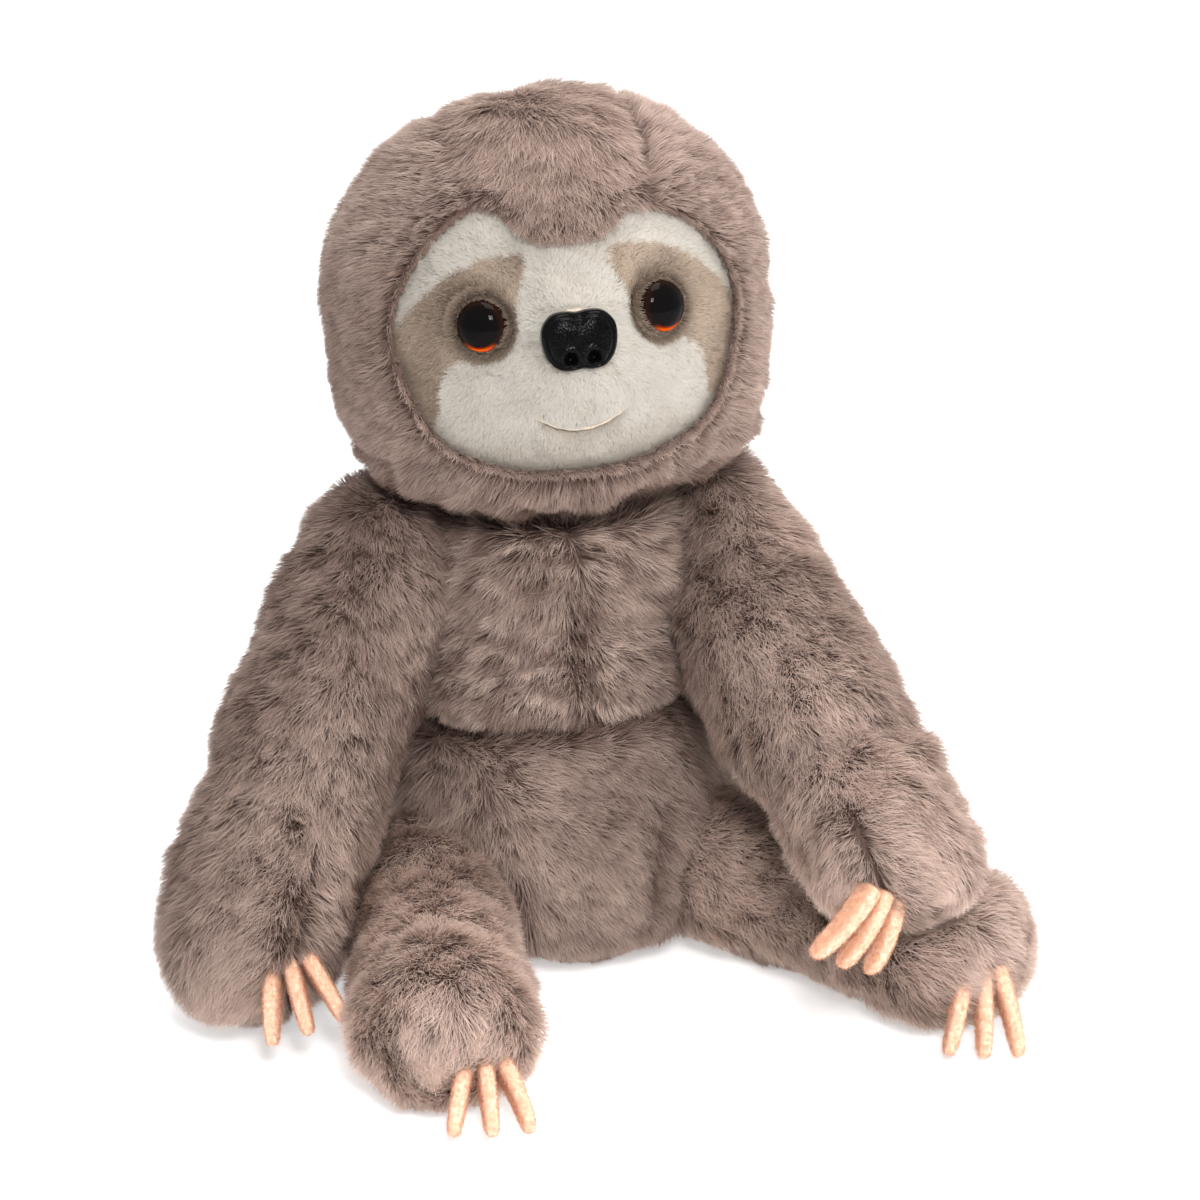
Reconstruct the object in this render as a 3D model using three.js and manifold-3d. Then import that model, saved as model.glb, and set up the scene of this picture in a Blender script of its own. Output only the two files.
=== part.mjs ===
// A seated plush sloth: sewn plush covers over stuffing, felt claws, moulded eyes and nose.
// Millimetres, +Z up. It looks along -Y, and its own left side is +X.
// The origin is on the floor, in the middle of the flat of the seat.

import * as THREE from 'three';
import { mergeVertices } from 'three/addons/utils/BufferGeometryUtils.js';
import Module from 'manifold-3d';

const wasm = await Module();
wasm.setup();

// Cloth, seams and cuts
const gap = 0.3; // clearance between pieces that touch
const plush = 6; // long-pile plush, backing and laid pile together
const facePlush = 4; // short-pile plush of the face
const neckPlush = 5;
const floorFlat = 0.5; // depth of the flat where a soft form stands on the floor
const overrun = 600; // reach of every cutting block

// Torso, as sections from the seat up. Forward is how far a section's middle lies towards the face
const seat = { halfWidth: 37, halfDepth: 35, forward: 5 };
const lap = { height: 12, halfWidth: 47, halfDepth: 48, forward: 6 };
const belly = { height: 36, halfWidth: 50, halfDepth: 50, forward: 6 };
const waist = { height: 72, halfWidth: 42, halfDepth: 42, forward: 3 };
const chest = { height: 93, halfWidth: 40, halfDepth: 43, forward: 2 };
const shoulders = { height: 114, halfWidth: 35, halfDepth: 35, forward: 3 };
const collar = { height: 127, halfWidth: 30, halfDepth: 28, forward: 4 };
const torsoRoundness = 2.2;
const sideSeam = 6; // the front and back panels meet this far behind the middle
const seatSeam = 11; // height of the seam round the seat panel

// Bag of pellets that weights the seat
const pelletBag = { halfWidth: 30, halfDepth: 26, halfHeight: 11 };

// Neck plug, a ball that the head and the torso both seat on
const neck = { radius: 26, forward: 5, height: 118, mouth: 18 };

// Head, about its own middle. It looks along -Y before it is turned
const head = { halfWidth: 59, halfDepth: 51, halfHeight: 54, forward: 8, side: -1, height: 188 };
const headTurn = 5; // degrees towards the toy's right
const headTilt = 3.8; // degrees, left side up
const crownRoundness = 2.1;
const jawRoundness = 3.6;
const cheekRoundness = 2.15;
const gussetHalfWidth = 27;
const ruffTop = 33; // the ruff's seam lies this far below the middle of the head

// Face, set back in the hood of long pile
const face = { halfWidth: 47, halfHeight: 38, setBack: 4 };
const faceOutlineShares = [
  [0, -1.0], [0.42, -0.95], [0.78, -0.73], [0.96, -0.3], [1, 0.08], [0.91, 0.42],
  [0.72, 0.7], [0.48, 0.82], [0.24, 0.76], [0, 0.68],
];
const muzzle = { halfWidth: 29, halfHeight: 25, rise: 9, drop: 7 };
const muzzleFallShare = 2; // how soon the muzzle falls away at its half sizes
const patchOutlineShares = [
  [0.22, 0.56], [0.44, 0.55], [0.72, 0.38], [0.93, 0.08], [1.03, -0.2], [0.98, -0.5],
  [0.85, -0.72], [0.76, -0.56], [0.72, -0.26], [0.58, -0.06], [0.41, 0.04], [0.28, 0.3],
];

// Moulded eyes and nose, each on a shank held by a washer inside
const eye = { radius: 7, domeHeight: 5.5, rim: 1.2, sink: 2, side: 24.3, height: 5.6 };
const eyeShank = { radius: 2.2, length: 13 };
const nose = { halfWidth: 10.2, halfHeight: 8.4, thick: 6.5, sink: 1.5, height: 1.8 };
const noseOutlineShares = [
  [0, 0.93], [0.3, 0.99], [0.68, 0.92], [0.95, 0.55], [1, 0.05],
  [0.88, -0.55], [0.6, -0.93], [0.25, -1], [0, -0.96],
];
const noseTurn = 8; // degrees that it looks up
const noseRimShare = 0.33; // how much of its thickness stands straight
const noseBluntness = 0.7; // under 1 the dome is blunter than a ball
const nostrilDepthShare = 0.85;
const nostril = { radius: 1.9, side: 3.1, drop: 4.6 };
const noseShank = { radius: 2.6, length: 15 };
const washer = { radius: 8, thick: 1.6, bore: 0.3, sink: 3 };

// Sewn mouth line
const mouth = { halfWidth: 13, height: -19, dip: 5.5, threadRadius: 0.7 };
const mouthShares = [-1, -0.55, 0, 0.55, 1];

// Arms. The root is a ball on the shoulder, and the hand's middle is given from the shoulder
const shoulder = { standOff: 11.5, drop: 14.5, radius: 21, back: 0 };
const armRight = {
  reach: 110, headingTurn: 43, fallTurn: 49, bowOut: 3,
  mid: { halfWidth: 24, halfHeight: 24 },
  end: { halfWidth: 24.5, halfHeight: 24.5, halfLength: 26 },
};
const armLeft = {
  reach: 122.5, headingTurn: 10.4, fallTurn: 26.8, bowOut: 0,
  mid: { halfWidth: 26, halfHeight: 25 },
  end: { halfWidth: 24.5, halfHeight: 21.5, halfLength: 23 },
};
const armRaiseTurn = { right: 60, left: 34 }; // degrees that each arm lifts

// Legs, lying on the floor. The root is a ball in the lap
const hip = { inset: 8, sink: 26, radius: 23 };
const legRight = { reach: 80, headingTurn: 9.6 };
const legLeft = { reach: 83, headingTurn: 34 };
const thigh = { halfWidth: 21, halfHeight: 21 };
const foot = { halfWidth: 23, halfHeight: 21, halfLength: 22 };
const legSwingTurn = { right: 14, left: 22 }; // degrees, the right leg inwards and the left leg outwards

// Felt claws, three on each limb, sewn side by side into the seam at its end
const claw = { length: 24, thick: 4.3, rootDepth: 7.5, tipDepth: 5, sink: 5, bendTurn: 34 };
const clawStationShares = [0, 0.3, 0.6, 0.82, 0.93, 0.985, 1];
const clawTipShare = 0.82; // where the round tip begins
const clawPlaces = [-1, 0, 1]; // the claws of a limb, from its middle one
const slotPlaces = [-1, -0.5, 0, 0.5, 1]; // the cuts that make one opening for them
const clawFanTurn = 13; // degrees between two claws
// Directions: from the middle of the limb's end to the claws, from one claw to the next, along the claws,
// and across the limb's seam, which runs down its front to the claws
const clawRootShares = {
  arm_right: [0.36, -0.92, -0.2],
  arm_left: [-0.41, -0.89, -0.16],
  leg_right: [0.38, -0.88, -0.27],
  leg_left: [0.14, -0.98, 0.06],
};
const clawRowShares = {
  arm_right: [1, -0.27, 0.24],
  arm_left: [1, 0.2, -0.1],
  leg_right: [1, 0, 0],
  leg_left: [1, 0, 0],
};
const clawLayShares = {
  arm_right: [0.02, -0.9, -0.43],
  arm_left: [-0.47, 0.05, -0.88],
  leg_right: [-0.12, -0.92, -0.36],
  leg_left: [-0.12, -0.5, -0.7],
};
const limbSeamShares = {
  arm_right: [0.97, -0.26, 0],
  arm_left: [0.94, -0.13, 0.31],
  leg_right: [0.77, -0.08, 0.35],
  leg_left: [0.97, -0.26, 0],
};

const midShare = 0.5; // where along a limb its middle size lies
const bowPull = 2; // a curve's middle handle pulls the curve half as far as it stands off

// Facets of the outsides, and of the linings and fillings inside them
const fine = {
  limbSides: 14, limbSteps: 5, capSteps: 3,
  torsoSides: 20, torsoSteps: 8,
  headSides: 22, headSteps: 6,
};
const plain = {
  limbSides: 8, limbSteps: 2, capSteps: 2,
  torsoSides: 12, torsoSteps: 4,
  headSides: 12, headSteps: 3,
};
const faceSides = 22;
const noseSides = 11;
const faceRings = 2;
const roundSides = 16;
const domeSteps = 4;
const sweepTurn = 9; // degrees at most between two cuts that clear a turning limb
const threadSides = 6;
const threadSteps = 12;

// Colours from the photograph
const looks = {
  fur: { color: 0xa08a80, roughness: 0.95 },
  ruff: { color: 0xa99488, roughness: 0.95 },
  cream: { color: 0xefe6da, roughness: 0.9 },
  taupe: { color: 0x96826f, roughness: 0.9 },
  eye: { color: 0x1a0f0a, roughness: 0.08 },
  nose: { color: 0x121110, roughness: 0.35 },
  felt: { color: 0xf3c7a8, roughness: 0.9 },
  thread: { color: 0xd9c3a8, roughness: 0.8 },
  fibre: { color: 0xf5f5f0, roughness: 1 },
  bag: { color: 0xe8e4da, roughness: 0.9 },
  washer: { color: 0xdedede, roughness: 0.5 },
};

const up = new THREE.Vector3(0, 0, 1);
const forward = new THREE.Vector3(0, -1, 0);
const side = new THREE.Vector3(1, 0, 0);
const radians = THREE.MathUtils.degToRad;

// Solids

function solidFrom(points, triangles) {
  let volume = 0;
  for (const [a, b, c] of triangles) {
    volume += points[a].dot(new THREE.Vector3().crossVectors(points[b], points[c]));
  }
  const turned = volume < 0 ? triangles.map(([a, b, c]) => [a, c, b]) : triangles;
  const vertProperties = new Float32Array(points.flatMap((p) => [p.x, p.y, p.z]));
  const triVerts = new Uint32Array(turned.flat());
  return new wasm.Manifold(new wasm.Mesh({ numProp: 3, vertProperties, triVerts }));
}

function solidOf(geometry) {
  const bare = geometry.clone();
  bare.deleteAttribute('normal');
  bare.deleteAttribute('uv');
  const merged = mergeVertices(bare);
  const vertProperties = new Float32Array(merged.attributes.position.array);
  const triVerts = new Uint32Array(merged.index.array);
  return new wasm.Manifold(new wasm.Mesh({ numProp: 3, vertProperties, triVerts }));
}

// Rings of equal length joined from a first pole to a last pole
function loft(rings, firstPole, lastPole) {
  const sides = rings[0].length;
  const points = [firstPole, ...rings.flat(), lastPole];
  const last = points.length - 1;
  const at = (ring, i) => 1 + ring * sides + (i % sides);
  const triangles = [];
  for (let i = 0; i < sides; i++) {
    triangles.push([0, at(0, i + 1), at(0, i)]);
    triangles.push([last, at(rings.length - 1, i), at(rings.length - 1, i + 1)]);
    for (let ring = 0; ring + 1 < rings.length; ring++) {
      triangles.push([at(ring, i), at(ring, i + 1), at(ring + 1, i)]);
      triangles.push([at(ring, i + 1), at(ring + 1, i + 1), at(ring + 1, i)]);
    }
  }
  return solidFrom(points, triangles);
}

function squarer(value, roundness) {
  return Math.sign(value) * Math.abs(value) ** (2 / roundness);
}

// One ring about a middle, along two unit vectors, from a circle towards a square as roundness grows
function ringAbout(middle, across, along, halfAcross, halfAlong, sides, roundness = 2) {
  return Array.from({ length: sides }, (_, i) => {
    const angle = (2 * Math.PI * i) / sides;
    return middle.clone()
      .addScaledVector(across, halfAcross * squarer(Math.cos(angle), roundness))
      .addScaledVector(along, halfAlong * squarer(Math.sin(angle), roundness));
  });
}

function middleOf(points) {
  return points.reduce((sum, p) => sum.add(p), new THREE.Vector3()).divideScalar(points.length);
}

// The half of space beyond a plane
function beyond(point, normal) {
  const block = new THREE.BoxGeometry(overrun, overrun, overrun);
  block.translate(0, 0, overrun / 2);
  block.applyQuaternion(new THREE.Quaternion().setFromUnitVectors(up, normal.clone().normalize()));
  block.translate(point.x, point.y, point.z);
  return solidOf(block);
}

// The part of a solid on one side of a seam, half a gap away from it
function panelOf(solid, point, normal) {
  const unit = normal.clone().normalize();
  return solid.intersect(beyond(point.clone().addScaledVector(unit, gap / 2), unit));
}

// A closed smooth outline through points given as shares of two half sizes, mirrored about its middle or not
function outlineFrom(shares, halfWidth, halfHeight, mirrored) {
  const half = shares.map(([x, z]) => new THREE.Vector3(x * halfWidth, 0, z * halfHeight));
  const inner = half.slice(1, -1).reverse();
  const other = mirrored ? inner.map((p) => new THREE.Vector3(-p.x, 0, p.z)) : [];
  return new THREE.CatmullRomCurve3([...half, ...other], true, 'centripetal');
}

// Points round an outline, moved outwards
function grownOutline(curve, count, grow) {
  const points = curve.getPoints(count).slice(0, count);
  const after = (i) => points[(i + 1) % count];
  const before = (i) => points[(i + count - 1) % count];
  const area = points.reduce((sum, p, i) => sum + p.x * after(i).z - after(i).x * p.z, 0);
  return points.map((p, i) => {
    const along = after(i).clone().sub(before(i)).multiplyScalar(Math.sign(area));
    const out = new THREE.Vector3(along.z, 0, -along.x).normalize();
    return p.clone().addScaledVector(out, grow);
  });
}

// Head surface

const headPose = new THREE.Matrix4()
  .makeTranslation(head.side, -head.forward, head.height)
  .multiply(new THREE.Matrix4().makeRotationZ(-radians(headTurn)))
  .multiply(new THREE.Matrix4().makeRotationY(-radians(headTilt)));

function posed(points) {
  return points.map((p) => p.clone().applyMatrix4(headPose));
}

function headForm(grow, facets) {
  const rings = [];
  for (let i = 1 - facets.headSteps; i < facets.headSteps; i++) {
    const angle = (i / facets.headSteps) * (Math.PI / 2);
    const roundness = i < 0 ? jawRoundness : crownRoundness;
    const width = squarer(Math.cos(angle), roundness);
    const height = (head.halfHeight + grow) * squarer(Math.sin(angle), roundness);
    const middle = new THREE.Vector3(0, 0, height);
    const halfWidth = (head.halfWidth + grow) * width;
    const halfDepth = (head.halfDepth + grow) * width;
    const ring = ringAbout(middle, side, forward, halfWidth, halfDepth, facets.headSides, cheekRoundness);
    rings.push(posed(ring));
  }
  const [bottom, top] = posed([-1, 1].map((end) => new THREE.Vector3(0, 0, end * (head.halfHeight + grow))));
  return loft(rings, bottom, top);
}

const faceOutline = outlineFrom(faceOutlineShares, face.halfWidth, face.halfHeight, true);

// How far in front of the head's middle the face's surface lies, with the muzzle's rise
function faceDepth(x, z) {
  const halfWidth = head.halfWidth - face.setBack;
  const halfDepth = head.halfDepth - face.setBack;
  const halfHeight = head.halfHeight - face.setBack;
  const vertical = z < 0 ? jawRoundness : crownRoundness;
  const width = Math.max(0, 1 - Math.abs(z / halfHeight) ** vertical) ** (1 / vertical);
  const across = Math.min(1, Math.abs(x) / (halfWidth * width));
  const shell = halfDepth * width * (1 - across ** cheekRoundness) ** (1 / cheekRoundness);
  const offX = x / muzzle.halfWidth;
  const offZ = (z + muzzle.drop) / muzzle.halfHeight;
  return shell + muzzle.rise * Math.exp(-muzzleFallShare * (offX * offX + offZ * offZ));
}

function onFace(x, z, lift = 0) {
  return new THREE.Vector3(x, -faceDepth(x, z) - lift, z);
}

// A plate over the face's outline, from one depth below the surface to another
function facePlate(grow, outer, inner) {
  const outline = grownOutline(faceOutline, faceSides, grow);
  const sheet = (lift) => Array.from({ length: faceRings }, (_, ring) => {
    const share = (ring + 1) / faceRings;
    return outline.map((p) => onFace(p.x * share, p.z * share, lift));
  });
  const front = sheet(-outer);
  const back = sheet(-inner).reverse();
  const rings = [...front, ...back].map(posed);
  const [firstPole] = posed([onFace(0, 0, -outer)]);
  const [lastPole] = posed([onFace(0, 0, -inner)]);
  return loft(rings, firstPole, lastPole);
}

// A prism along the line of sight of the face, from the head's middle forwards
function facePrism(outline) {
  const nearEnd = posed(outline);
  const farEnd = posed(outline.map((p) => p.clone().addScaledVector(forward, overrun)));
  return loft([nearEnd, farEnd], middleOf(nearEnd), middleOf(farEnd));
}

// The face's outward direction at a point of it
function faceNormal(x, z) {
  const step = head.halfWidth / faceSides;
  const alongX = onFace(x + step, z).sub(onFace(x - step, z));
  const alongZ = onFace(x, z + step).sub(onFace(x, z - step));
  return new THREE.Vector3().crossVectors(alongX, alongZ).normalize();
}

// Places a geometry made along +Y so that its +Y looks along a direction of the head
function placedOnHead(geometry, point, direction) {
  geometry.applyQuaternion(new THREE.Quaternion().setFromUnitVectors(new THREE.Vector3(0, 1, 0), direction));
  geometry.translate(point.x, point.y, point.z);
  geometry.applyMatrix4(headPose);
  return solidOf(geometry);
}

// Torso

const sections = [lap, belly, waist, chest, shoulders, collar];

function torsoForm(grow, facets) {
  const bottom = { height: -floorFlat, ...seat };
  const all = [bottom, ...sections];
  const sizes = new THREE.CatmullRomCurve3(
    all.map((s) => new THREE.Vector3(s.halfWidth, s.halfDepth, s.height)), false, 'centripetal');
  const shifts = new THREE.CatmullRomCurve3(
    all.map((s) => new THREE.Vector3(s.forward, 0, s.height)), false, 'centripetal');
  const half = (collar.height + floorFlat) / 2;
  const stretch = (half + grow) / half;
  const rings = [];
  for (let i = 0; i <= facets.torsoSteps; i++) {
    const size = sizes.getPoint(i / facets.torsoSteps);
    const shift = shifts.getPoint(i / facets.torsoSteps);
    const height = half - floorFlat + (size.z - half + floorFlat) * stretch;
    const middle = new THREE.Vector3(0, -shift.x, height);
    const [halfWidth, halfDepth] = [size.x + grow, size.y + grow];
    rings.push(ringAbout(middle, side, forward, halfWidth, halfDepth, facets.torsoSides, torsoRoundness));
  }
  return loft(rings, middleOf(rings[0]), middleOf(rings[facets.torsoSteps]));
}

// Limbs

const chestSide = shoulders.halfWidth + shoulder.standOff + gap;
const shoulderHeight = collar.height - shoulder.drop;

function clawRoot(name, end, tip) {
  const rootAim = new THREE.Vector3(...clawRootShares[name]).normalize();
  return end.clone().addScaledVector(rootAim, tip.halfWidth - claw.sink);
}

// The seam of a limb lies in a plane through the limb's root and its claws. Outwards is away from the body
function seamNormal(name, root, end, tip, sign) {
  const down = clawRoot(name, end, tip).sub(root).normalize();
  return new THREE.Vector3(...limbSeamShares[name]).projectOnPlane(down).normalize().multiplyScalar(sign);
}

// The level direction that a limb points in
function headingOf(limb, sign) {
  const turn = radians(limb.headingTurn);
  return new THREE.Vector3(sign * Math.sin(turn), -Math.cos(turn), 0);
}

function armFrom(name, arm, sign) {
  const root = new THREE.Vector3(sign * chestSide, shoulder.back - shoulders.forward, shoulderHeight);
  const heading = headingOf(arm, sign);
  const fall = radians(arm.fallTurn);
  const aim = heading.clone().multiplyScalar(Math.cos(fall)).addScaledVector(up, -Math.sin(fall));
  const end = root.clone().addScaledVector(aim, arm.reach);
  const sideways = new THREE.Vector3().crossVectors(aim, up).normalize().multiplyScalar(-sign);
  return {
    name, root, end,
    outwards: seamNormal(name, root, end, arm.end, sign),
    rootRadius: shoulder.radius,
    mid: arm.mid,
    tip: arm.end,
    bow: sideways.multiplyScalar(arm.bowOut),
    axis: new THREE.Vector3(heading.y, -heading.x, 0),
  };
}

function legFrom(name, leg, sign) {
  const root = new THREE.Vector3(
    sign * (belly.halfWidth - hip.inset),
    -belly.forward - belly.halfDepth + hip.sink,
    hip.radius - floorFlat,
  );
  const heading = headingOf(leg, sign);
  const end = root.clone().addScaledVector(heading, leg.reach).setZ(foot.halfHeight - floorFlat);
  return {
    name, root, end,
    outwards: seamNormal(name, root, end, foot, sign),
    rootRadius: hip.radius,
    mid: thigh,
    tip: foot,
    bow: new THREE.Vector3(),
    axis: up.clone(),
  };
}

const limbs = [
  { ...armFrom('arm_right', armRight, -1), range: armRaiseTurn.right },
  { ...armFrom('arm_left', armLeft, 1), range: armRaiseTurn.left },
  { ...legFrom('leg_right', legRight, -1), range: legSwingTurn.right },
  { ...legFrom('leg_left', legLeft, 1), range: legSwingTurn.left },
];

// A swelling limb: a ball at the root, a thickening tube and a round end, turned about its root by an angle
function limbForm(limb, grow, facets, turn = 0) {
  const middle = middleOf([limb.root, limb.end]).addScaledVector(limb.bow, bowPull);
  const path = new THREE.QuadraticBezierCurve3(limb.root, middle, limb.end);
  const rings = [];
  const addRing = (centre, tangent, halfWidth, halfHeight) => {
    const upright = up.clone().projectOnPlane(tangent).normalize();
    const lateral = new THREE.Vector3().crossVectors(upright, tangent);
    rings.push(ringAbout(centre, upright, lateral, halfHeight, halfWidth, facets.limbSides));
  };
  const rootTangent = path.getTangent(0);
  const rootRadius = limb.rootRadius + grow;
  for (let i = 1 - facets.capSteps; i < 0; i++) {
    const angle = (i / facets.capSteps) * (Math.PI / 2);
    const radius = rootRadius * Math.cos(angle);
    const centre = limb.root.clone().addScaledVector(rootTangent, rootRadius * Math.sin(angle));
    addRing(centre, rootTangent, radius, radius);
  }
  const { mid, tip } = limb;
  for (let i = 0; i <= facets.limbSteps; i++) {
    const share = i / facets.limbSteps;
    const early = THREE.MathUtils.smoothstep(share, 0, midShare);
    const late = THREE.MathUtils.smoothstep(share, midShare, 1);
    const sizeOf = (key) => {
      const middling = limb.rootRadius + early * (mid[key] - limb.rootRadius);
      return middling + late * (tip[key] - mid[key]) + grow;
    };
    addRing(path.getPoint(share), path.getTangent(share), sizeOf('halfWidth'), sizeOf('halfHeight'));
  }
  const endTangent = path.getTangent(1);
  const endLength = tip.halfLength + grow;
  for (let i = 1; i < facets.capSteps; i++) {
    const angle = (i / facets.capSteps) * (Math.PI / 2);
    const width = Math.cos(angle);
    const centre = limb.end.clone().addScaledVector(endTangent, endLength * Math.sin(angle));
    addRing(centre, endTangent, (tip.halfWidth + grow) * width, (tip.halfHeight + grow) * width);
  }
  const firstPole = limb.root.clone().addScaledVector(rootTangent, -rootRadius);
  const lastPole = limb.end.clone().addScaledVector(endTangent, endLength);
  const spin = (p) => p.clone().sub(limb.root).applyAxisAngle(limb.axis, radians(turn)).add(limb.root);
  return loft(rings.map((ring) => ring.map(spin)), spin(firstPole), spin(lastPole));
}

// A ball whose flats lie outside the radius, so that a rounder ball turns in it
function socketBall(centre, radius) {
  const outside = radius / Math.cos(Math.PI / roundSides) ** 2;
  const ball = new THREE.SphereGeometry(outside, roundSides, roundSides / 2, Math.PI / roundSides);
  ball.translate(centre.x, centre.y, centre.z);
  return solidOf(ball);
}

const neckMiddle = new THREE.Vector3(0, -neck.forward, neck.height);

// All that turns in a limb's seat, with a clearance round it
function limbSweep(limb, clearance, facets) {
  let swept = socketBall(limb.root, limb.rootRadius + clearance);
  const steps = Math.ceil(limb.range / sweepTurn);
  for (let i = 0; i <= steps; i++) {
    swept = swept.add(limbForm(limb, clearance, facets, (limb.range * i) / steps));
  }
  return swept;
}

function floorCut(solid) {
  return solid.subtract(beyond(new THREE.Vector3(), up.clone().negate()));
}

// The pieces

const group = new THREE.Group();
const pieces = new Map();

function addPiece(name, solid, look) {
  pieces.set(name, { solid, look });
}

function torsoBlock(grow, clearance, facets) {
  let block = torsoForm(grow, facets).subtract(socketBall(neckMiddle, neck.radius + clearance));
  for (const limb of limbs) {
    block = block.subtract(limbSweep(limb, clearance, facets));
  }
  return grow < 0 ? block : floorCut(block);
}

function makeTorso() {
  const cover = torsoBlock(0, gap, fine).subtract(torsoBlock(-plush, gap + plush, plain));
  const middle = new THREE.Vector3(0, sideSeam, 0);
  const seatLine = new THREE.Vector3(0, 0, seatSeam);
  const waistLine = new THREE.Vector3(0, 0, waist.height);
  const down = up.clone().negate();
  const back = forward.clone().negate();
  const right = side.clone().negate();
  addPiece('seat_panel', panelOf(cover, seatLine, down), looks.fur);
  const upper = panelOf(cover, seatLine, up);
  const front = panelOf(upper, middle, forward);
  const rear = panelOf(upper, middle, back);
  addPiece('belly_panel', panelOf(front, waistLine, down), looks.fur);
  const breast = panelOf(front, waistLine, up);
  addPiece('chest_left_panel', panelOf(breast, new THREE.Vector3(), side), looks.fur);
  addPiece('chest_right_panel', panelOf(breast, new THREE.Vector3(), right), looks.fur);
  addPiece('back_left_panel', panelOf(rear, new THREE.Vector3(), side), looks.fur);
  addPiece('back_right_panel', panelOf(rear, new THREE.Vector3(), right), looks.fur);
  const bagForm = (grow) => {
    const form = new THREE.SphereGeometry(1, roundSides, roundSides / 2);
    form.scale(pelletBag.halfWidth + grow, pelletBag.halfDepth + grow, pelletBag.halfHeight + grow);
    form.translate(0, -seat.forward, plush + pelletBag.halfHeight - floorFlat);
    return solidOf(form);
  };
  const core = torsoBlock(-plush - gap, 2 * gap + plush, plain);
  addPiece('pellet_bag', core.intersect(bagForm(0)), looks.bag);
  addPiece('torso_stuffing', core.subtract(bagForm(gap)), looks.fibre);
}

function makeNeck() {
  const mouthHeight = Math.sqrt(neck.radius ** 2 - neck.mouth ** 2);
  const mouthAt = (sign) => neckMiddle.clone().addScaledVector(up, sign * mouthHeight);
  const open = (solid, inset) => solid
    .subtract(beyond(mouthAt(1).addScaledVector(up, -inset), up))
    .subtract(beyond(mouthAt(-1).addScaledVector(up, inset), up.clone().negate()));
  const ball = (radius) => {
    const form = new THREE.SphereGeometry(radius, roundSides, roundSides / 2);
    form.translate(neckMiddle.x, neckMiddle.y, neckMiddle.z);
    return solidOf(form);
  };
  addPiece('neck_cover', open(ball(neck.radius), 0).subtract(ball(neck.radius - neckPlush)), looks.fur);
  addPiece('neck_stuffing', open(ball(neck.radius - neckPlush - gap), 0), looks.fibre);
}

function makeEyeSolid(sign, grow) {
  const profile = [
    [0, -eyeShank.length - grow],
    [eyeShank.radius + grow, -eyeShank.length - grow],
    [eyeShank.radius + grow, -grow],
    [eye.radius + grow, -grow],
  ];
  for (let i = 0; i <= domeSteps; i++) {
    const angle = (i / domeSteps) * (Math.PI / 2);
    const height = eye.rim + (eye.domeHeight - eye.rim + grow) * Math.sin(angle);
    profile.push([(eye.radius + grow) * Math.cos(angle), height]);
  }
  profile[profile.length - 1][0] = 0;
  const form = new THREE.LatheGeometry(profile.map(([r, h]) => new THREE.Vector2(r, h)), roundSides);
  const normal = faceNormal(sign * eye.side, eye.height);
  const point = onFace(sign * eye.side, eye.height).addScaledVector(normal, -eye.sink);
  return placedOnHead(form, point, normal);
}

function washerOn(point, normal, shank) {
  const bore = shank.radius + washer.bore;
  const half = washer.thick / 2;
  const corners = [[bore, -half], [washer.radius, -half], [washer.radius, half], [bore, half], [bore, -half]];
  const form = new THREE.LatheGeometry(corners.map(([r, h]) => new THREE.Vector2(r, h)), roundSides);
  return placedOnHead(form, point, normal);
}

const washerDepth = facePlush + gap + washer.sink + washer.thick / 2;

function eyeWasher(sign) {
  const normal = faceNormal(sign * eye.side, eye.height);
  const place = onFace(sign * eye.side, eye.height).addScaledVector(normal, -washerDepth);
  return washerOn(place, normal, eyeShank);
}

// The room in the stuffing for a washer, open towards the face
function washerRoom(point, normal) {
  const length = washerDepth + washer.thick / 2 + gap;
  const form = new THREE.CylinderGeometry(washer.radius + gap, washer.radius + gap, length, roundSides);
  form.translate(0, -length / 2, 0);
  return placedOnHead(form, point, normal);
}

const noseNormal = new THREE.Vector3(0, -Math.cos(radians(noseTurn)), Math.sin(radians(noseTurn)));
const nosePoint = onFace(0, nose.height).addScaledVector(noseNormal, -nose.sink);

function makeNoseSolid(grow) {
  const noseOutline = outlineFrom(noseOutlineShares, nose.halfWidth, nose.halfHeight, true);
  const outline = grownOutline(noseOutline, noseSides, grow);
  const turn = new THREE.Quaternion().setFromUnitVectors(forward, noseNormal);
  const lay = (x, z, height) => new THREE.Vector3(x, -height, z).applyQuaternion(turn).add(nosePoint);
  const rings = [outline.map((p) => lay(p.x, p.z, -grow))];
  for (let i = 0; i < domeSteps; i++) {
    const angle = (i / domeSteps) * (Math.PI / 2);
    const share = Math.cos(angle) ** noseBluntness;
    const rim = nose.thick * noseRimShare;
    const height = rim + (nose.thick - rim + grow) * Math.sin(angle);
    rings.push(outline.map((p) => lay(p.x * share, p.z * share, height)));
  }
  let solid = loft(rings.map(posed), ...posed([lay(0, 0, -grow), lay(0, 0, nose.thick + grow)]));
  if (grow === 0) {
    for (const sign of [-1, 1]) {
      const hole = new THREE.SphereGeometry(nostril.radius, roundSides / 2, domeSteps * 2);
      const place = lay(sign * nostril.side, -nostril.drop, nose.thick * nostrilDepthShare);
      hole.translate(place.x, place.y, place.z);
      hole.applyMatrix4(headPose);
      solid = solid.subtract(solidOf(hole));
    }
  }
  const shankForm = new THREE.CylinderGeometry(
    noseShank.radius + grow, noseShank.radius + grow, noseShank.length + nose.thick / 2 + grow, roundSides);
  shankForm.translate(0, (nose.thick / 2 - noseShank.length - grow) / 2, 0);
  return solid.add(placedOnHead(shankForm, nosePoint, noseNormal));
}

function noseWasher() {
  const depth = washerDepth - nose.sink;
  return washerOn(nosePoint.clone().addScaledVector(noseNormal, -depth), noseNormal, noseShank);
}

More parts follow.
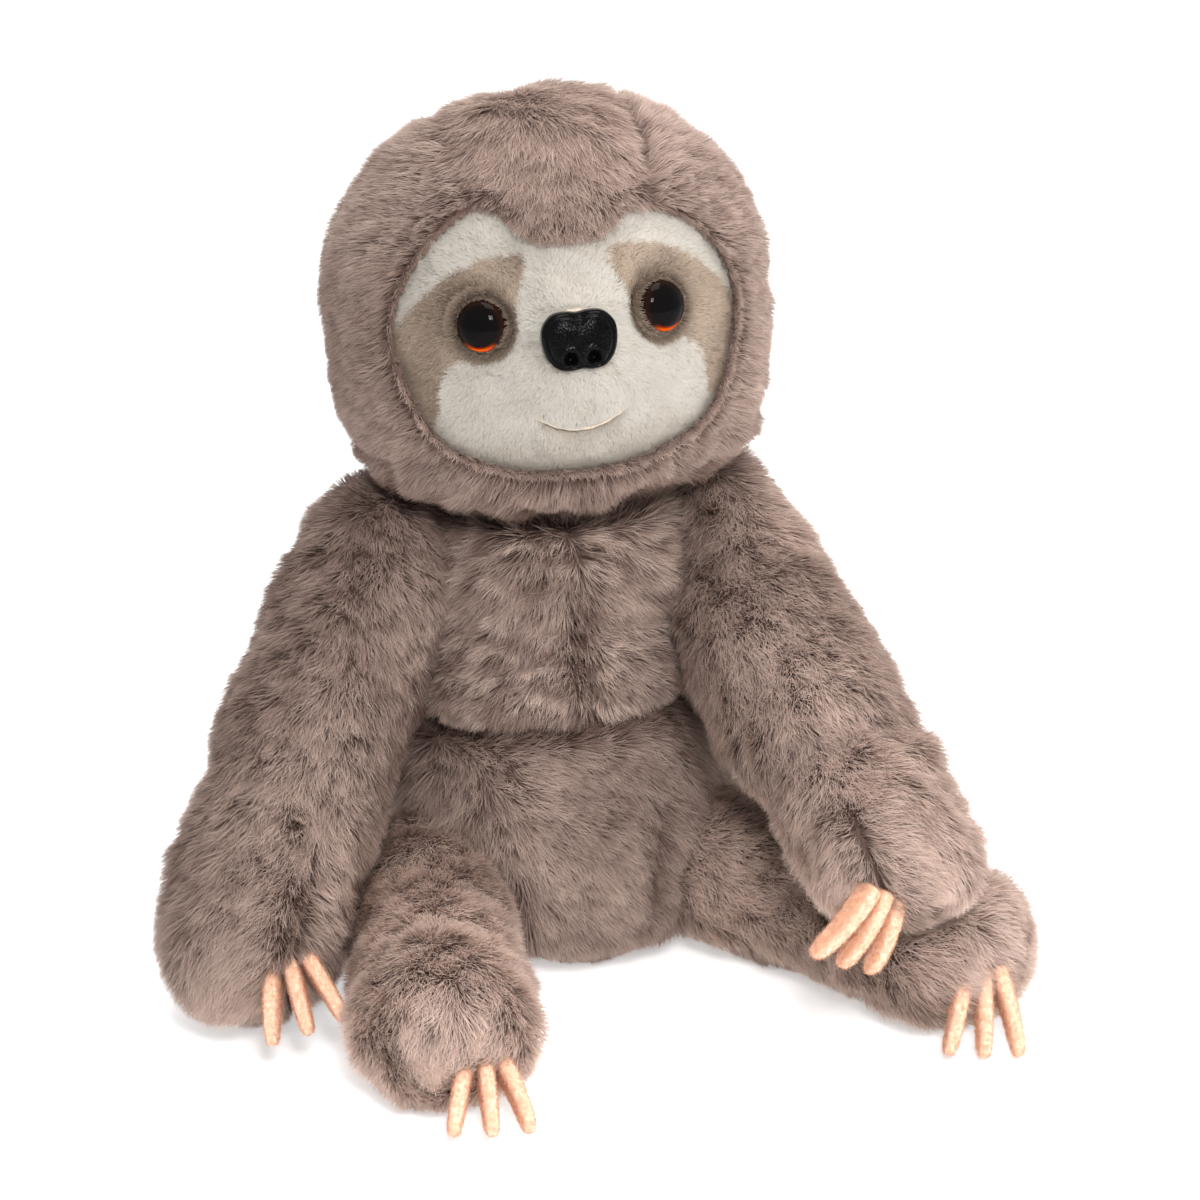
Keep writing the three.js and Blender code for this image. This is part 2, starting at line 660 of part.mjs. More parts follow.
function makeMouth(grow) {
  const route = new THREE.CatmullRomCurve3(mouthShares.map((share) => {
    const drop = mouth.dip * (1 - share * share);
    return onFace(share * mouth.halfWidth, mouth.height - drop, mouth.threadRadius + gap);
  }));
  const radius = mouth.threadRadius + grow;
  const section = new THREE.Shape(Array.from({ length: threadSides }, (_, i) => {
    const angle = (2 * Math.PI * i) / threadSides;
    return new THREE.Vector2(radius * Math.cos(angle), radius * Math.sin(angle));
  }));
  const form = new THREE.ExtrudeGeometry(section, { extrudePath: route, steps: threadSteps });
  form.applyMatrix4(headPose);
  return solidOf(form);
}

function makeHead() {
  const opening = facePrism(grownOutline(faceOutline, faceSides, gap));
  const neckSeat = (extra) => socketBall(neckMiddle, neck.radius + gap + extra);
  const outer = headForm(0, fine).subtract(neckSeat(0));
  const hollow = headForm(-plush, plain).subtract(neckSeat(plush));
  const hood = outer.subtract(hollow).subtract(opening);
  const axisOf = (vector) => vector.clone().transformDirection(headPose);
  const ruffLine = new THREE.Vector3(0, 0, -ruffTop).applyMatrix4(headPose);
  addPiece('chin_ruff', panelOf(hood, ruffLine, axisOf(up).negate()), looks.ruff);
  const crown = panelOf(hood, ruffLine, axisOf(up));
  const gussetSide = (sign) => new THREE.Vector3(sign * gussetHalfWidth, 0, 0).applyMatrix4(headPose);
  const strip = panelOf(crown, gussetSide(1), axisOf(side).negate());
  addPiece('head_gusset', panelOf(strip, gussetSide(-1), axisOf(side)), looks.fur);
  addPiece('head_side_left', panelOf(crown, gussetSide(1), axisOf(side)), looks.fur);
  addPiece('head_side_right', panelOf(crown, gussetSide(-1), axisOf(side).negate()), looks.fur);

  const plate = facePlate(0, 0, facePlush);
  let panel = plate;
  const patches = {};
  for (const [name, sign] of [['left', 1], ['right', -1]]) {
    const shares = patchOutlineShares.map(([x, z]) => [sign * x, z]);
    const curve = outlineFrom(shares, face.halfWidth, face.halfHeight, false);
    patches[name] = plate.intersect(facePrism(grownOutline(curve, faceSides, 0)));
    panel = panel.subtract(facePrism(grownOutline(curve, faceSides, gap)));
  }
  let stuffing = headForm(-plush - gap, plain)
    .subtract(neckSeat(plush + gap))
    .subtract(facePlate(gap, -head.halfDepth, facePlush + gap));
  for (const [name, sign] of [['left', 1], ['right', -1]]) {
    const seatOfEye = makeEyeSolid(sign, gap);
    patches[name] = patches[name].subtract(seatOfEye);
    panel = panel.subtract(seatOfEye);
    const eyeRoom = washerRoom(onFace(sign * eye.side, eye.height), faceNormal(sign * eye.side, eye.height));
    stuffing = stuffing.subtract(seatOfEye).subtract(eyeRoom);
    addPiece(`eye_${name}`, makeEyeSolid(sign, 0), looks.eye);
    addPiece(`eye_washer_${name}`, eyeWasher(sign), looks.washer);
    addPiece(`eye_patch_${name}`, patches[name], looks.taupe);
  }
  const seatOfNose = makeNoseSolid(gap);
  addPiece('face_panel', panel.subtract(seatOfNose).subtract(makeMouth(gap)), looks.cream);
  addPiece('nose', makeNoseSolid(0), looks.nose);
  addPiece('nose_washer', noseWasher(), looks.washer);
  addPiece('mouth_thread', makeMouth(0), looks.thread);
  const noseRoom = washerRoom(onFace(0, nose.height), noseNormal);
  addPiece('head_stuffing', stuffing.subtract(seatOfNose).subtract(noseRoom), looks.fibre);
}

// A claw is a bent tapering blade of felt with a round tip, cut from a thick sheet
function clawShape(grow) {
  const bendRadius = claw.length / radians(claw.bendTurn);
  const outerEdge = [];
  const innerEdge = [];
  for (const share of clawStationShares) {
    const angle = radians(claw.bendTurn) * share;
    const tipRound = Math.sqrt(1 - Math.max(0, (share - clawTipShare) / (1 - clawTipShare)) ** 2);
    const half = ((claw.rootDepth + (claw.tipDepth - claw.rootDepth) * share) / 2) * tipRound + grow;
    const along = new THREE.Vector2(Math.sin(angle), Math.cos(angle));
    const centre = new THREE.Vector2(0, -bendRadius).addScaledVector(along, bendRadius);
    outerEdge.push(centre.clone().addScaledVector(along, half));
    innerEdge.push(centre.clone().addScaledVector(along, -half));
  }
  return new THREE.Shape(tipMerged(outerEdge, innerEdge, grow));
}

function tipMerged(outerEdge, innerEdge, grow) {
  const tip = grow === 0 ? innerEdge.slice(0, -1) : innerEdge;
  return [...outerEdge, ...tip.reverse()];
}

function makeClaw(limb, index, grow) {
  const lay = new THREE.Vector3(...clawLayShares[limb.name]).normalize();
  const row = new THREE.Vector3(...clawRowShares[limb.name]).projectOnPlane(lay).normalize().negate();
  const outward = new THREE.Vector3().crossVectors(row, lay);
  const thick = claw.thick + 2 * grow;
  const form = new THREE.ExtrudeGeometry(clawShape(grow), { depth: thick, bevelEnabled: false, steps: 1 });
  form.translate(0, 0, -thick / 2);
  form.rotateZ(radians(claw.bendTurn) / 2);
  form.rotateY(radians(-index * clawFanTurn));
  form.translate(0, 0, index * (claw.thick + gap));
  form.applyMatrix4(new THREE.Matrix4().makeBasis(lay, outward, row));
  const root = clawRoot(limb.name, limb.end, limb.tip);
  form.translate(root.x, root.y, root.z);
  return solidOf(form);
}

function makeLimb(limb) {
  const cover = floorCut(limbForm(limb, 0, fine)).subtract(limbForm(limb, -plush, plain));
  const normals = [limb.outwards, limb.outwards.clone().negate()];
  let panels = normals.map((normal) => panelOf(cover, limb.root, normal));
  let stuffing = limbForm(limb, -plush - gap, plain);
  // One opening in the seam takes all three claws, with no sliver of cover between them
  for (const index of slotPlaces) {
    const slot = makeClaw(limb, index, gap);
    panels = panels.map((panel) => panel.subtract(slot));
    stuffing = stuffing.subtract(slot);
  }
  clawPlaces.forEach((index, i) => {
    addPiece(`${limb.name}_claw_${i + 1}`, makeClaw(limb, index, 0), looks.felt);
  });
  addPiece(`${limb.name}_outer_panel`, panels[0], looks.fur);
  addPiece(`${limb.name}_inner_panel`, panels[1], looks.fur);
  addPiece(`${limb.name}_stuffing`, stuffing, looks.fibre);
}

makeTorso();
makeNeck();
makeHead();
limbs.forEach(makeLimb);

for (const [name, { solid, look }] of pieces) {
  const { vertProperties, triVerts } = solid.getMesh();
  const geometry = new THREE.BufferGeometry();
  geometry.setAttribute('position', new THREE.BufferAttribute(new Float32Array(vertProperties), 3));
  geometry.setIndex(new THREE.BufferAttribute(new Uint32Array(triVerts), 1));
  geometry.computeVertexNormals();
  const mesh = new THREE.Mesh(geometry, new THREE.MeshStandardMaterial({ ...look, metalness: 0 }));
  mesh.name = name;
  group.add(mesh);
}

export default group;
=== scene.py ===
# A seated plush sloth: stuffed cloth forms with brushed pile, felt claws, moulded eyes and nose.
# Lengths are in millimetres until a mesh is made, +Z up. It looks along -Y, and its own left side is +X.

import math

import bpy
import numpy as np
from mathutils import Matrix, Vector


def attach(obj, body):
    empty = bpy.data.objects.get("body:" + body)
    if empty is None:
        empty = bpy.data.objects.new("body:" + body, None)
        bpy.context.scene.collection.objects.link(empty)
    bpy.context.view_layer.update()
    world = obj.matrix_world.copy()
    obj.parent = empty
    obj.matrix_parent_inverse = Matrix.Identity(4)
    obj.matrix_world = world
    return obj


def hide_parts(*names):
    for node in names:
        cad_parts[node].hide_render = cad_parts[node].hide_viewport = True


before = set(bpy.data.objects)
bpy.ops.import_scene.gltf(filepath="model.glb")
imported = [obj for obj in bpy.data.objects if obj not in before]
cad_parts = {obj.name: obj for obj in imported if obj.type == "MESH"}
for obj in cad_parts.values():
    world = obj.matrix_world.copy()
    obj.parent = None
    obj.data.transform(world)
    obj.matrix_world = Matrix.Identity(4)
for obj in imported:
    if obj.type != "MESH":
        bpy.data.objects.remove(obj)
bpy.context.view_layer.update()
MM = 0.001

# Sizes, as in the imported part

# Torso: height, half width, half depth and forward shift of each section
SECTIONS = [(-0.5, 37, 35, 5), (12, 47, 48, 6), (36, 50, 50, 6), (72, 42, 42, 3),
            (93, 40, 43, 2), (114, 35, 35, 3), (127, 30, 28, 4)]
TORSO_TOP = SECTIONS[-1][0]
TORSO_ROUND = 2.2
SIDE_SEAM, SEAT_SEAM, WAIST = 6, 11, 72
NECK_RADIUS, NECK_MIDDLE, NECK_MOUTH = 26, np.array([0, -5, 118.0]), 18

# Head, in its own upright frame; shares are of the half sizes
HEAD_HALF = np.array([59, 51, 54.0])
CROWN, JAW, CHEEK = 2.1, 3.6, 2.15
GUSSET, GUSSET_SEAM, RUFF_TOP = 27, 23, 33
FACE_HALF, SET_BACK = (47, 38), 4
FACE_SHARES = [(0, -1.0), (0.42, -0.95), (0.78, -0.73), (0.96, -0.3), (1, 0.08), (0.91, 0.42),
               (0.72, 0.7), (0.48, 0.82), (0.24, 0.76), (0, 0.68)]
PATCH_SHARES = [(0.22, 0.56), (0.44, 0.55), (0.72, 0.38), (0.93, 0.08), (1.03, -0.2), (0.98, -0.5),
                (0.85, -0.72), (0.76, -0.56), (0.72, -0.26), (0.58, -0.06), (0.41, 0.04), (0.28, 0.3)]
MUZZLE = (29, 25, 9, 7)  # half width, half height, rise and drop
EYE_RADIUS, EYE_DOME, EYE_RIM, EYE_SINK, EYE_SIDE, EYE_HEIGHT = 7, 5.5, 1.2, 2, 24.3, 5.6
NOSE_HALF, NOSE_THICK, NOSE_SINK, NOSE_HEIGHT, NOSE_LIFT = (10.2, 8.4), 6.5, 1.5, 1.8, 8
NOSE_SHARES = [(0, 0.93), (0.3, 0.99), (0.68, 0.92), (0.95, 0.55), (1, 0.05), (0.88, -0.55),
               (0.6, -0.93), (0.25, -1), (0, -0.96)]
NOSTRIL_SIDE, NOSTRIL_HEIGHT, NOSTRIL_DEPTH, NOSTRIL_RADIUS = 3.1, -4.4, 2.6, 1.55
MOUTH_HALF, MOUTH_HEIGHT, MOUTH_DIP, THREAD_RADIUS = 13, -19, 5.5, 0.5

# Limbs: "reach", "heading" and "bow" lay the middle line, and "fall" is an arm's slope. "mid" and
# "tip" are half sizes, and "claw", "row", "lay" and "seam" are directions. "sweep" is the swing, in
# degrees, that its seat leaves room for. "wrist" is 1 where a fold is pressed in behind the hand.
# "tone" is the pile's from root to end, and is painted light: lighter towards the hands and feet,
# on the left arm and on the legs, and darker on the right arm, as the light falls on them. "rise" is
# its steepness, and "part" how strongly it parts along the seam: the comb, the tone (painted shade in
# the parting), the rise and the groove.
CLAW = dict(length=24, thick=4.3, root=7.5, tip=5, sink=5, bend=34, fan=13, gap=0.3)
ARM_PART, LEG_PART = (1.1, 0.2, 0.2, 0.9), (0.2, 0.04, 0.08, 0.3)
LIMBS = {
    "arm_right": dict(
        sign=-1, reach=110, heading=43, fall=49, bow=3, mid=(24, 24), tip=(24.5, 24.5, 26), wrist=0,
        claw=(0.36, -0.92, -0.2), row=(1, -0.27, 0.24), lay=(0.02, -0.9, -0.43), seam=(0.97, -0.26, 0),
        sweep=60, tone=(0.34, 0.66), rise=1.0, part=ARM_PART),
    "arm_left": dict(
        sign=1, reach=122.5, heading=10.4, fall=26.8, bow=0, mid=(26, 25), tip=(24.5, 21.5, 23), wrist=1,
        claw=(-0.41, -0.89, -0.16), row=(1, 0.2, -0.1), lay=(-0.47, 0.05, -0.88), seam=(0.94, -0.13, 0.31),
        sweep=34, tone=(0.54, 0.86), rise=0.85, part=ARM_PART),
    "leg_right": dict(
        sign=-1, reach=80, heading=9.6, fall=None, bow=0, mid=(21, 21), tip=(23, 21, 22), wrist=0,
        claw=(0.38, -0.88, -0.27), row=(1, 0, 0), lay=(-0.12, -0.92, -0.36), seam=(0.77, -0.08, 0.35),
        sweep=14, tone=(0.80, 0.90), rise=0.85, part=LEG_PART),
    "leg_left": dict(
        sign=1, reach=83, heading=34, fall=None, bow=0, mid=(21, 21), tip=(23, 21, 22), wrist=0,
        claw=(0.14, -0.98, 0.06), row=(1, 0, 0), lay=(-0.12, -0.5, -0.7), seam=(0.97, -0.26, 0),
        sweep=22, tone=(0.85, 0.88), rise=0.85, part=LEG_PART),
}
SHOULDER, SHOULDER_RADIUS = (46.8, -3, 112.5), 21
HIP, HIP_RADIUS, FOOT_HEIGHT = (42, -30, 22.5), 23, 20.5

CLOTH_INSET = 2.0  # the woven backing lies this far under the middle height of the pile
FLOOR_GAP, PILE_GAP = 0.3, 0.25  # cloth and pile rest this far above the floor
DENSITY = 5.8  # strands of the long pile to a square millimetre
PATH_STEPS = 40
UP = np.array([0, 0, 1.0])

# The view of the photograph, in metres
CAMERA, CAMERA_AIM, LENS = (-0.238, -0.948, 0.452), (0.0054, -0.0405, 0.1090), 109.3


# Vectors and noise

def unit(v):
    v = np.asarray(v, float)
    return v / np.maximum(np.linalg.norm(v, axis=-1, keepdims=True), 1e-9)


def dot(a, b):
    return (a * b).sum(-1)


def flat_to(v, n):
    return v - dot(v, n)[..., None] * n


def flow(*parts):
    """Vectors from parts that are arrays or plain numbers."""
    return np.stack(np.broadcast_arrays(*parts), -1).astype(float)


def blend(a, b, share):
    return (1 - share[:, None]) * a + share[:, None] * b


def circle(sides):
    return np.arange(sides) * 2 * np.pi / sides


def smooth(x, low, high):
    """0 below low, 1 above high, and a soft step between."""
    t = np.clip((x - low) / (high - low), 0, 1)
    return t * t * (3 - 2 * t)


def bump(x, width):
    """1 at zero, falling off within a width."""
    return np.exp(-(x / width) ** 2)


def waves(seed, scale, count=14):
    """Wave vectors and phases about one size, for the noise."""
    local = np.random.default_rng(seed)
    direction = unit(local.normal(size=(count, 3)))
    length = scale * local.uniform(0.7, 1.5, count)
    return direction * (2 * np.pi / length)[:, None], local.uniform(0, 2 * np.pi, count)


def noise(p, seed, scale):
    k, phase = waves(seed, scale)
    return np.sin(p @ k.T + phase).sum(1) / math.sqrt(len(phase) / 2)


def noise_slope(p, seed, scale):
    k, phase = waves(seed, scale)
    return np.cos(p @ k.T + phase) @ k * (scale / (2 * np.pi)) / math.sqrt(len(phase) / 2)


def catmull(points, t, closed=False):
    """A centripetal curve through points, at shares t of it."""
    points = np.asarray(points, float)
    count = len(points)
    place = np.asarray(t, float) * (count if closed else count - 1)
    i = np.floor(place).astype(int)
    if not closed:
        i = np.minimum(i, count - 2)
    w = (place - i)[:, None]
    if closed:
        p0, p1, p2, p3 = (points[(i + k) % count] for k in (-1, 0, 1, 2))
    else:
        padded = np.vstack([2 * points[0] - points[1], points, 2 * points[-1] - points[-2]])
        p0, p1, p2, p3 = (padded[i + k] for k in range(4))
    d0, d1, d2 = (np.maximum(np.linalg.norm(b - a, axis=1), 1e-6)[:, None] ** 0.5
                  for a, b in ((p0, p1), (p1, p2), (p2, p3)))
    t1 = ((p1 - p0) / d0 - (p2 - p0) / (d0 + d1) + (p2 - p1) / d1) * d1
    t2 = ((p2 - p1) / d1 - (p3 - p1) / (d1 + d2) + (p3 - p2) / d2) * d1
    square, cube = -3 * p1 + 3 * p2 - 2 * t1 - t2, 2 * p1 - 2 * p2 + t1 + t2
    return p1 + t1 * w + square * w ** 2 + cube * w ** 3


def turned(axis, degrees):
    return np.array(Matrix.Rotation(math.radians(degrees), 3, axis))


def inside(polygon, x, z):
    """Which points lie in a closed outline."""
    hit = np.zeros(len(x), bool)
    for (x1, z1), (x2, z2) in zip(polygon, np.roll(polygon, -1, 0)):
        cross = (z1 > z) != (z2 > z)
        if cross.any():
            hit ^= cross & (x < (x2 - x1) * (z - z1) / (z2 - z1 + 1e-12) + x1)
    return hit


def outline_distance(polygon, x, z):
    """How far points lie from a closed outline."""
    best = np.full(len(x), 1e9)
    p = np.stack([x, z], 1)
    for a, b in zip(polygon, np.roll(polygon, -1, 0)):
        d = b - a
        s = np.clip(((p - a) @ d) / max(d @ d, 1e-9), 0, 1)
        best = np.minimum(best, np.linalg.norm(p - a - s[:, None] * d, axis=1))
    return best


def mirrored(shares, half):
    """A closed outline from its right half."""
    points = [(x * half[0], z * half[1]) for x, z in shares]
    return catmull(points + [(-x, z) for x, z in points[-2:0:-1]], np.arange(160) / 160, True)


# Meshes

class Form:
    """A closed grid of rings between two poles, its triangles and its outward normals."""

    def __init__(self, rings, first, last):
        rings = np.asarray(rings)
        count, sides = rings.shape[:2]
        self.verts = np.vstack([first, rings.reshape(-1, 3), last])
        i, j = np.meshgrid(np.arange(count - 1), np.arange(sides), indexing="ij")
        a = 1 + i * sides + j
        b = 1 + i * sides + (j + 1) % sides
        c = b + sides
        d = a + sides
        side = np.arange(sides)
        top = 1 + (count - 1) * sides
        end = len(self.verts) - 1
        self.tris = np.vstack([
            np.stack([a, b, c], -1).reshape(-1, 3),
            np.stack([a, c, d], -1).reshape(-1, 3),
            np.stack([np.zeros(sides, int), 1 + (side + 1) % sides, 1 + side], -1),
            np.stack([np.full(sides, end), top + side, top + (side + 1) % sides], -1),
        ])
        v = self.verts[self.tris]
        if dot(v[:, 0], np.cross(v[:, 1], v[:, 2])).sum() < 0:
            self.tris = self.tris[:, ::-1]
        self.update()

    def update(self):
        v = self.verts[self.tris]
        cross = np.cross(v[:, 1] - v[:, 0], v[:, 2] - v[:, 0])
        self.area = np.linalg.norm(cross, axis=1) / 2
        self.middle = v.mean(1)
        normals = np.zeros_like(self.verts)
        for k in range(3):
            np.add.at(normals, self.tris[:, k], cross)
        self.normals = unit(normals)

    def push(self, amount):
        self.verts = self.verts + self.normals * np.asarray(amount)[:, None]
        self.update()

    def keep_up(self):
        self.verts[:, 2] = np.maximum(self.verts[:, 2], FLOOR_GAP)
        self.update()


def make_mesh(name, verts, faces, material, body):
    mesh = bpy.data.meshes.new(name)
    mesh.from_pydata((np.asarray(verts) * MM).tolist(), [], [tuple(int(i) for i in f) for f in faces])
    mesh.polygons.foreach_set("use_smooth", np.ones(len(mesh.polygons), bool))
    mesh.materials.append(material)
    mesh.update()
    obj = bpy.data.objects.new(name, mesh)
    bpy.context.scene.collection.objects.link(obj)
    if body:
        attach(obj, body)
    return obj


def point_values(obj, name, values):
    data = obj.data.attributes.new(name, "FLOAT", "POINT").data
    data.foreach_set("value", np.array(values, np.float32))


def part_mesh(name, form, mask, material, body):
    """The masked triangles of a form, shaded as part of the whole form."""
    tris = form.tris[mask]
    used, index = np.unique(tris, return_inverse=True)
    obj = make_mesh(name, form.verts[used], index.reshape(-1, 3), material, body)
    obj.data.normals_split_custom_set_from_vertices(form.normals[used].astype(np.float32))
    return obj


# Materials

def srgb(*seen):
    """A colour as seen on screen, as linear values."""
    linear = [c / 255 / 12.92 if c <= 10 else ((c / 255 + 0.055) / 1.055) ** 2.4 for c in seen]
    return (*linear, 1.0)


BLACK, WHITE = (0, 0, 0, 1), (1, 1, 1, 1)
PILE_SHINE = 0.15


class Nodes:
    """Short ways to build one material's nodes."""

    def __init__(self, name, **settings):
        self.material = bpy.data.materials.new(name)
        self.material.use_nodes = True
        self.tree = self.material.node_tree
        self.shader = self.tree.nodes["Principled BSDF"]
        for key, value in settings.items():
            self.shader.inputs[key.replace("_", " ")].default_value = value

    def add(self, kind, inputs=(), **attributes):
        node = self.tree.nodes.new(kind)
        for key, value in attributes.items():
            setattr(node, key, value)
        for key, value in dict(inputs).items():
            if hasattr(value, "links"):
                self.tree.links.new(value, node.inputs[key])
            else:
                node.inputs[key].default_value = value
        return node

    def link(self, source, target):
        self.tree.links.new(source, self.shader.inputs[target])

    def ramp(self, value, stops):
        node = self.add("ShaderNodeValToRGB", {"Fac": value})
        elements = node.color_ramp.elements
        while len(elements) < len(stops):
            elements.new(0.5)
        for element, (place, colour) in zip(elements, stops):
            element.position = place
            element.color = colour
        return node.outputs["Color"]

    def mix(self, share, a, b, blend="MIX"):
        inputs = {0: share, 6: a, 7: b}
        return self.add("ShaderNodeMix", inputs, data_type="RGBA", blend_type=blend).outputs[2]

    def noise(self, scale, detail=3, rough=0.6):
        inputs = {"Vector": self.place(), "Scale": scale, "Detail": detail, "Roughness": rough}
        return self.add("ShaderNodeTexNoise", inputs).outputs["Fac"]

    def place(self):
        return self.add("ShaderNodeTexCoord").outputs["Object"]

    def carried(self):
        """The two values that a mesh carries in its OFBake map, and the map itself."""
        uv = self.add("ShaderNodeUVMap", uv_map="OFBake").outputs["UV"]
        split = self.add("ShaderNodeSeparateXYZ", {"Vector": uv})
        return split.outputs["X"], split.outputs["Y"], uv

    def bump(self, height, strength, distance, **settings):
        inputs = {"Height": height, "Strength": strength, "Distance": distance}
        self.link(self.add("ShaderNodeBump", inputs, **settings).outputs["Normal"], "Normal")


def pile_material(name, dark, light, roughness, through=1.6, thin_share=0.38):
    """Pile coloured along each strand between a dark and a light tuft; some light passes through."""
    n = Nodes(name, Roughness=roughness, Specular_IOR_Level=PILE_SHINE)
    tone, along, _ = n.carried()
    colour = n.mix(tone, n.ramp(along, dark), n.ramp(along, light))
    n.link(colour, "Base Color")
    bright = n.add("ShaderNodeHueSaturation", {"Value": through, "Color": colour})
    thin = n.add("ShaderNodeBsdfTranslucent", {"Color": bright.outputs["Color"]})
    both = n.add("ShaderNodeMixShader", {0: thin_share, 1: n.shader.outputs[0], 2: thin.outputs[0]})
    n.tree.links.new(both.outputs[0], n.tree.nodes["Material Output"].inputs["Surface"])
    return n.material


def cloth_material(name, low, high):
    n = Nodes(name, Roughness=0.95, Specular_IOR_Level=0.1)
    grain = n.noise(900, 4)
    n.link(n.mix(n.noise(60), n.ramp(grain, [(0.35, low), (0.65, high)]), low), "Base Color")
    n.bump(grain, 0.4, 0.0004)
    return n.material


# Low tones pick the dark tuft, which serves both the pile's own darker strands and the painted shade set in
# the pile's fields.
FUR = pile_material(
    "brown_pile",
    [(0.0, srgb(72, 55, 48)), (0.4, srgb(98, 78, 70)), (1.0, srgb(142, 119, 109))],
    [(0.0, srgb(118, 99, 91)), (0.4, srgb(172, 151, 140)), (1.0, srgb(224, 206, 195))], 0.8, through=1.75)
CREAM = pile_material(
    "cream_pile",
    [(0.0, srgb(176, 166, 153)), (1.0, srgb(198, 191, 181))],
    [(0.0, srgb(208, 203, 193)), (1.0, srgb(226, 223, 217))], 0.6, through=1.1)
TAUPE = pile_material(
    "taupe_pile",
    [(0.0, srgb(92, 78, 68)), (1.0, srgb(134, 117, 102))],
    [(0.0, srgb(134, 116, 102)), (1.0, srgb(204, 188, 170))], 0.55)
FUR_CLOTH = cloth_material("brown_backing", srgb(92, 74, 67), srgb(116, 95, 86))
CREAM_CLOTH = cloth_material("cream_backing", srgb(212, 196, 178), srgb(232, 220, 204))
TAUPE_CLOTH = cloth_material("taupe_backing", srgb(100, 85, 74), srgb(124, 107, 94))


# Head

HEAD_TURN = turned("Z", -5) @ turned("Y", -3.8)
HEAD_PLACE = np.array([-1, -8, 188.0])


def posed(p):
    return np.asarray(p) @ HEAD_TURN.T + HEAD_PLACE


def unposed(p):
    return (np.asarray(p) - HEAD_PLACE) @ HEAD_TURN


def oval(theta, a, b, n):
    """A ring from an ellipse towards a box as n grows."""
    c, s = np.cos(theta), np.sin(theta)
    r = (np.abs(c / a) ** n + np.abs(s / b) ** n) ** (-1 / n)
    return c * r, s * r


def head_form(grow, count=76, sides=150):
    theta = circle(sides)
    half = HEAD_HALF + grow
    rings = []
    for u in np.linspace(0, np.pi, count + 2)[1:-1]:
        z = -math.cos(u)
        r = JAW if z < 0 else CROWN
        w = (1 - abs(z) ** r) ** (1 / r)
        x, y = oval(theta, half[0] * w, half[1] * w, CHEEK)
        rings.append(np.stack([x, -y, np.full(sides, z * half[2])], 1))
    return Form(posed(rings), posed([0, 0, -half[2]]), posed([0, 0, half[2]]))


def face_depth(x, z):
    """How far forward the face lies: the head's form, set back, and a round muzzle."""
    half = HEAD_HALF - SET_BACK
    r = np.where(z < 0, JAW, CROWN)
    w = np.maximum(1e-6, 1 - np.abs(z / half[2]) ** r) ** (1 / r)
    across = np.minimum(1, np.abs(x) / (half[0] * w))
    shell = half[1] * w * np.maximum(0, 1 - across ** CHEEK) ** (1 / CHEEK)
    wide, high, rise, drop = MUZZLE
    return shell + rise * np.exp(-2 * ((x / wide) ** 2 + ((z + drop) / high) ** 2))


def on_face(x, z, lift=0.0):
    """Points at a height over the face's surface."""
    return flow(x, -(face_depth(x, z) + lift), z)


def face_normal(x, z, step=2.0):
    across = on_face(x + step, z) - on_face(x - step, z)
    upwards = on_face(x, z + step) - on_face(x, z - step)
    return unit(np.cross(across, upwards))


FACE_LINE = mirrored(FACE_SHARES, FACE_HALF)
# The hair line is flat in the middle, high over the eyes and highest over the right one.
on_brow, side = FACE_LINE[:, 1] > 12, np.abs(FACE_LINE[:, 0])
FACE_LINE[:, 1] += 3.2 * bump(FACE_LINE[:, 0] + 23, 11) * on_brow
FACE_LINE[:, 1] += (1.4 * bump(side, 5) - 0.8 * bump(side - 9, 3) + 1.6 * bump(side - 18, 5)) * on_brow
PATCH_LINES = {}
for sign in (-1, 1):
    points = [(sign * x * FACE_HALF[0], z * FACE_HALF[1]) for x, z in PATCH_SHARES]
    PATCH_LINES[sign] = catmull(points, np.arange(120) / 120, True)


# Limbs

def settle_limb(limb):
    """Works out a limb's root, middle line, sizes along it and seam from its entries."""
    sign = limb["sign"]
    mirror = np.array([sign, 1, 1])
    angle = math.radians(limb["heading"])
    heading = np.array([sign * math.sin(angle), -math.cos(angle), 0])
    if limb["fall"] is not None:
        limb["root"], limb["radius"] = SHOULDER * mirror, SHOULDER_RADIUS
        fall = math.radians(limb["fall"])
        aim = heading * math.cos(fall) - UP * math.sin(fall)
        limb["end"] = limb["root"] + aim * limb["reach"]
        bow = unit(np.cross(aim, UP)) * -sign * limb["bow"]
    else:
        limb["root"], limb["radius"] = HIP * mirror, HIP_RADIUS
        limb["end"] = limb["root"] + heading * limb["reach"]
        limb["end"][2] = FOOT_HEIGHT
        bow = np.zeros(3)
    limb["middle"] = (limb["root"] + limb["end"]) / 2 + 2 * bow
    limb["claws_at"] = limb["end"] + unit(limb["claw"]) * (limb["tip"][0] - CLAW["sink"])
    down = unit(limb["claws_at"] - limb["root"])
    limb["outwards"] = unit(flat_to(np.array(limb["seam"], float), down)) * sign
    t = np.linspace(0, 1, PATH_STEPS + 1)
    limb["path"], limb["tangent"] = limb_path(limb, t)
    limb["width"], limb["height"] = limb_size(limb, t)


def limb_path(limb, t):
    t = np.asarray(t, float)[:, None]
    a, b, c = limb["root"], limb["middle"], limb["end"]
    path = (1 - t) ** 2 * a + 2 * t * (1 - t) * b + t * t * c
    return path, unit(2 * (1 - t) * (b - a) + 2 * t * (c - b))


def limb_size(limb, t):
    early, late = smooth(t, 0, 0.5), smooth(t, 0.5, 1)
    radius, mid, tip = limb["radius"], limb["mid"], limb["tip"]
    return [radius + early * (mid[k] - radius) + late * (tip[k] - mid[k]) for k in (0, 1)]


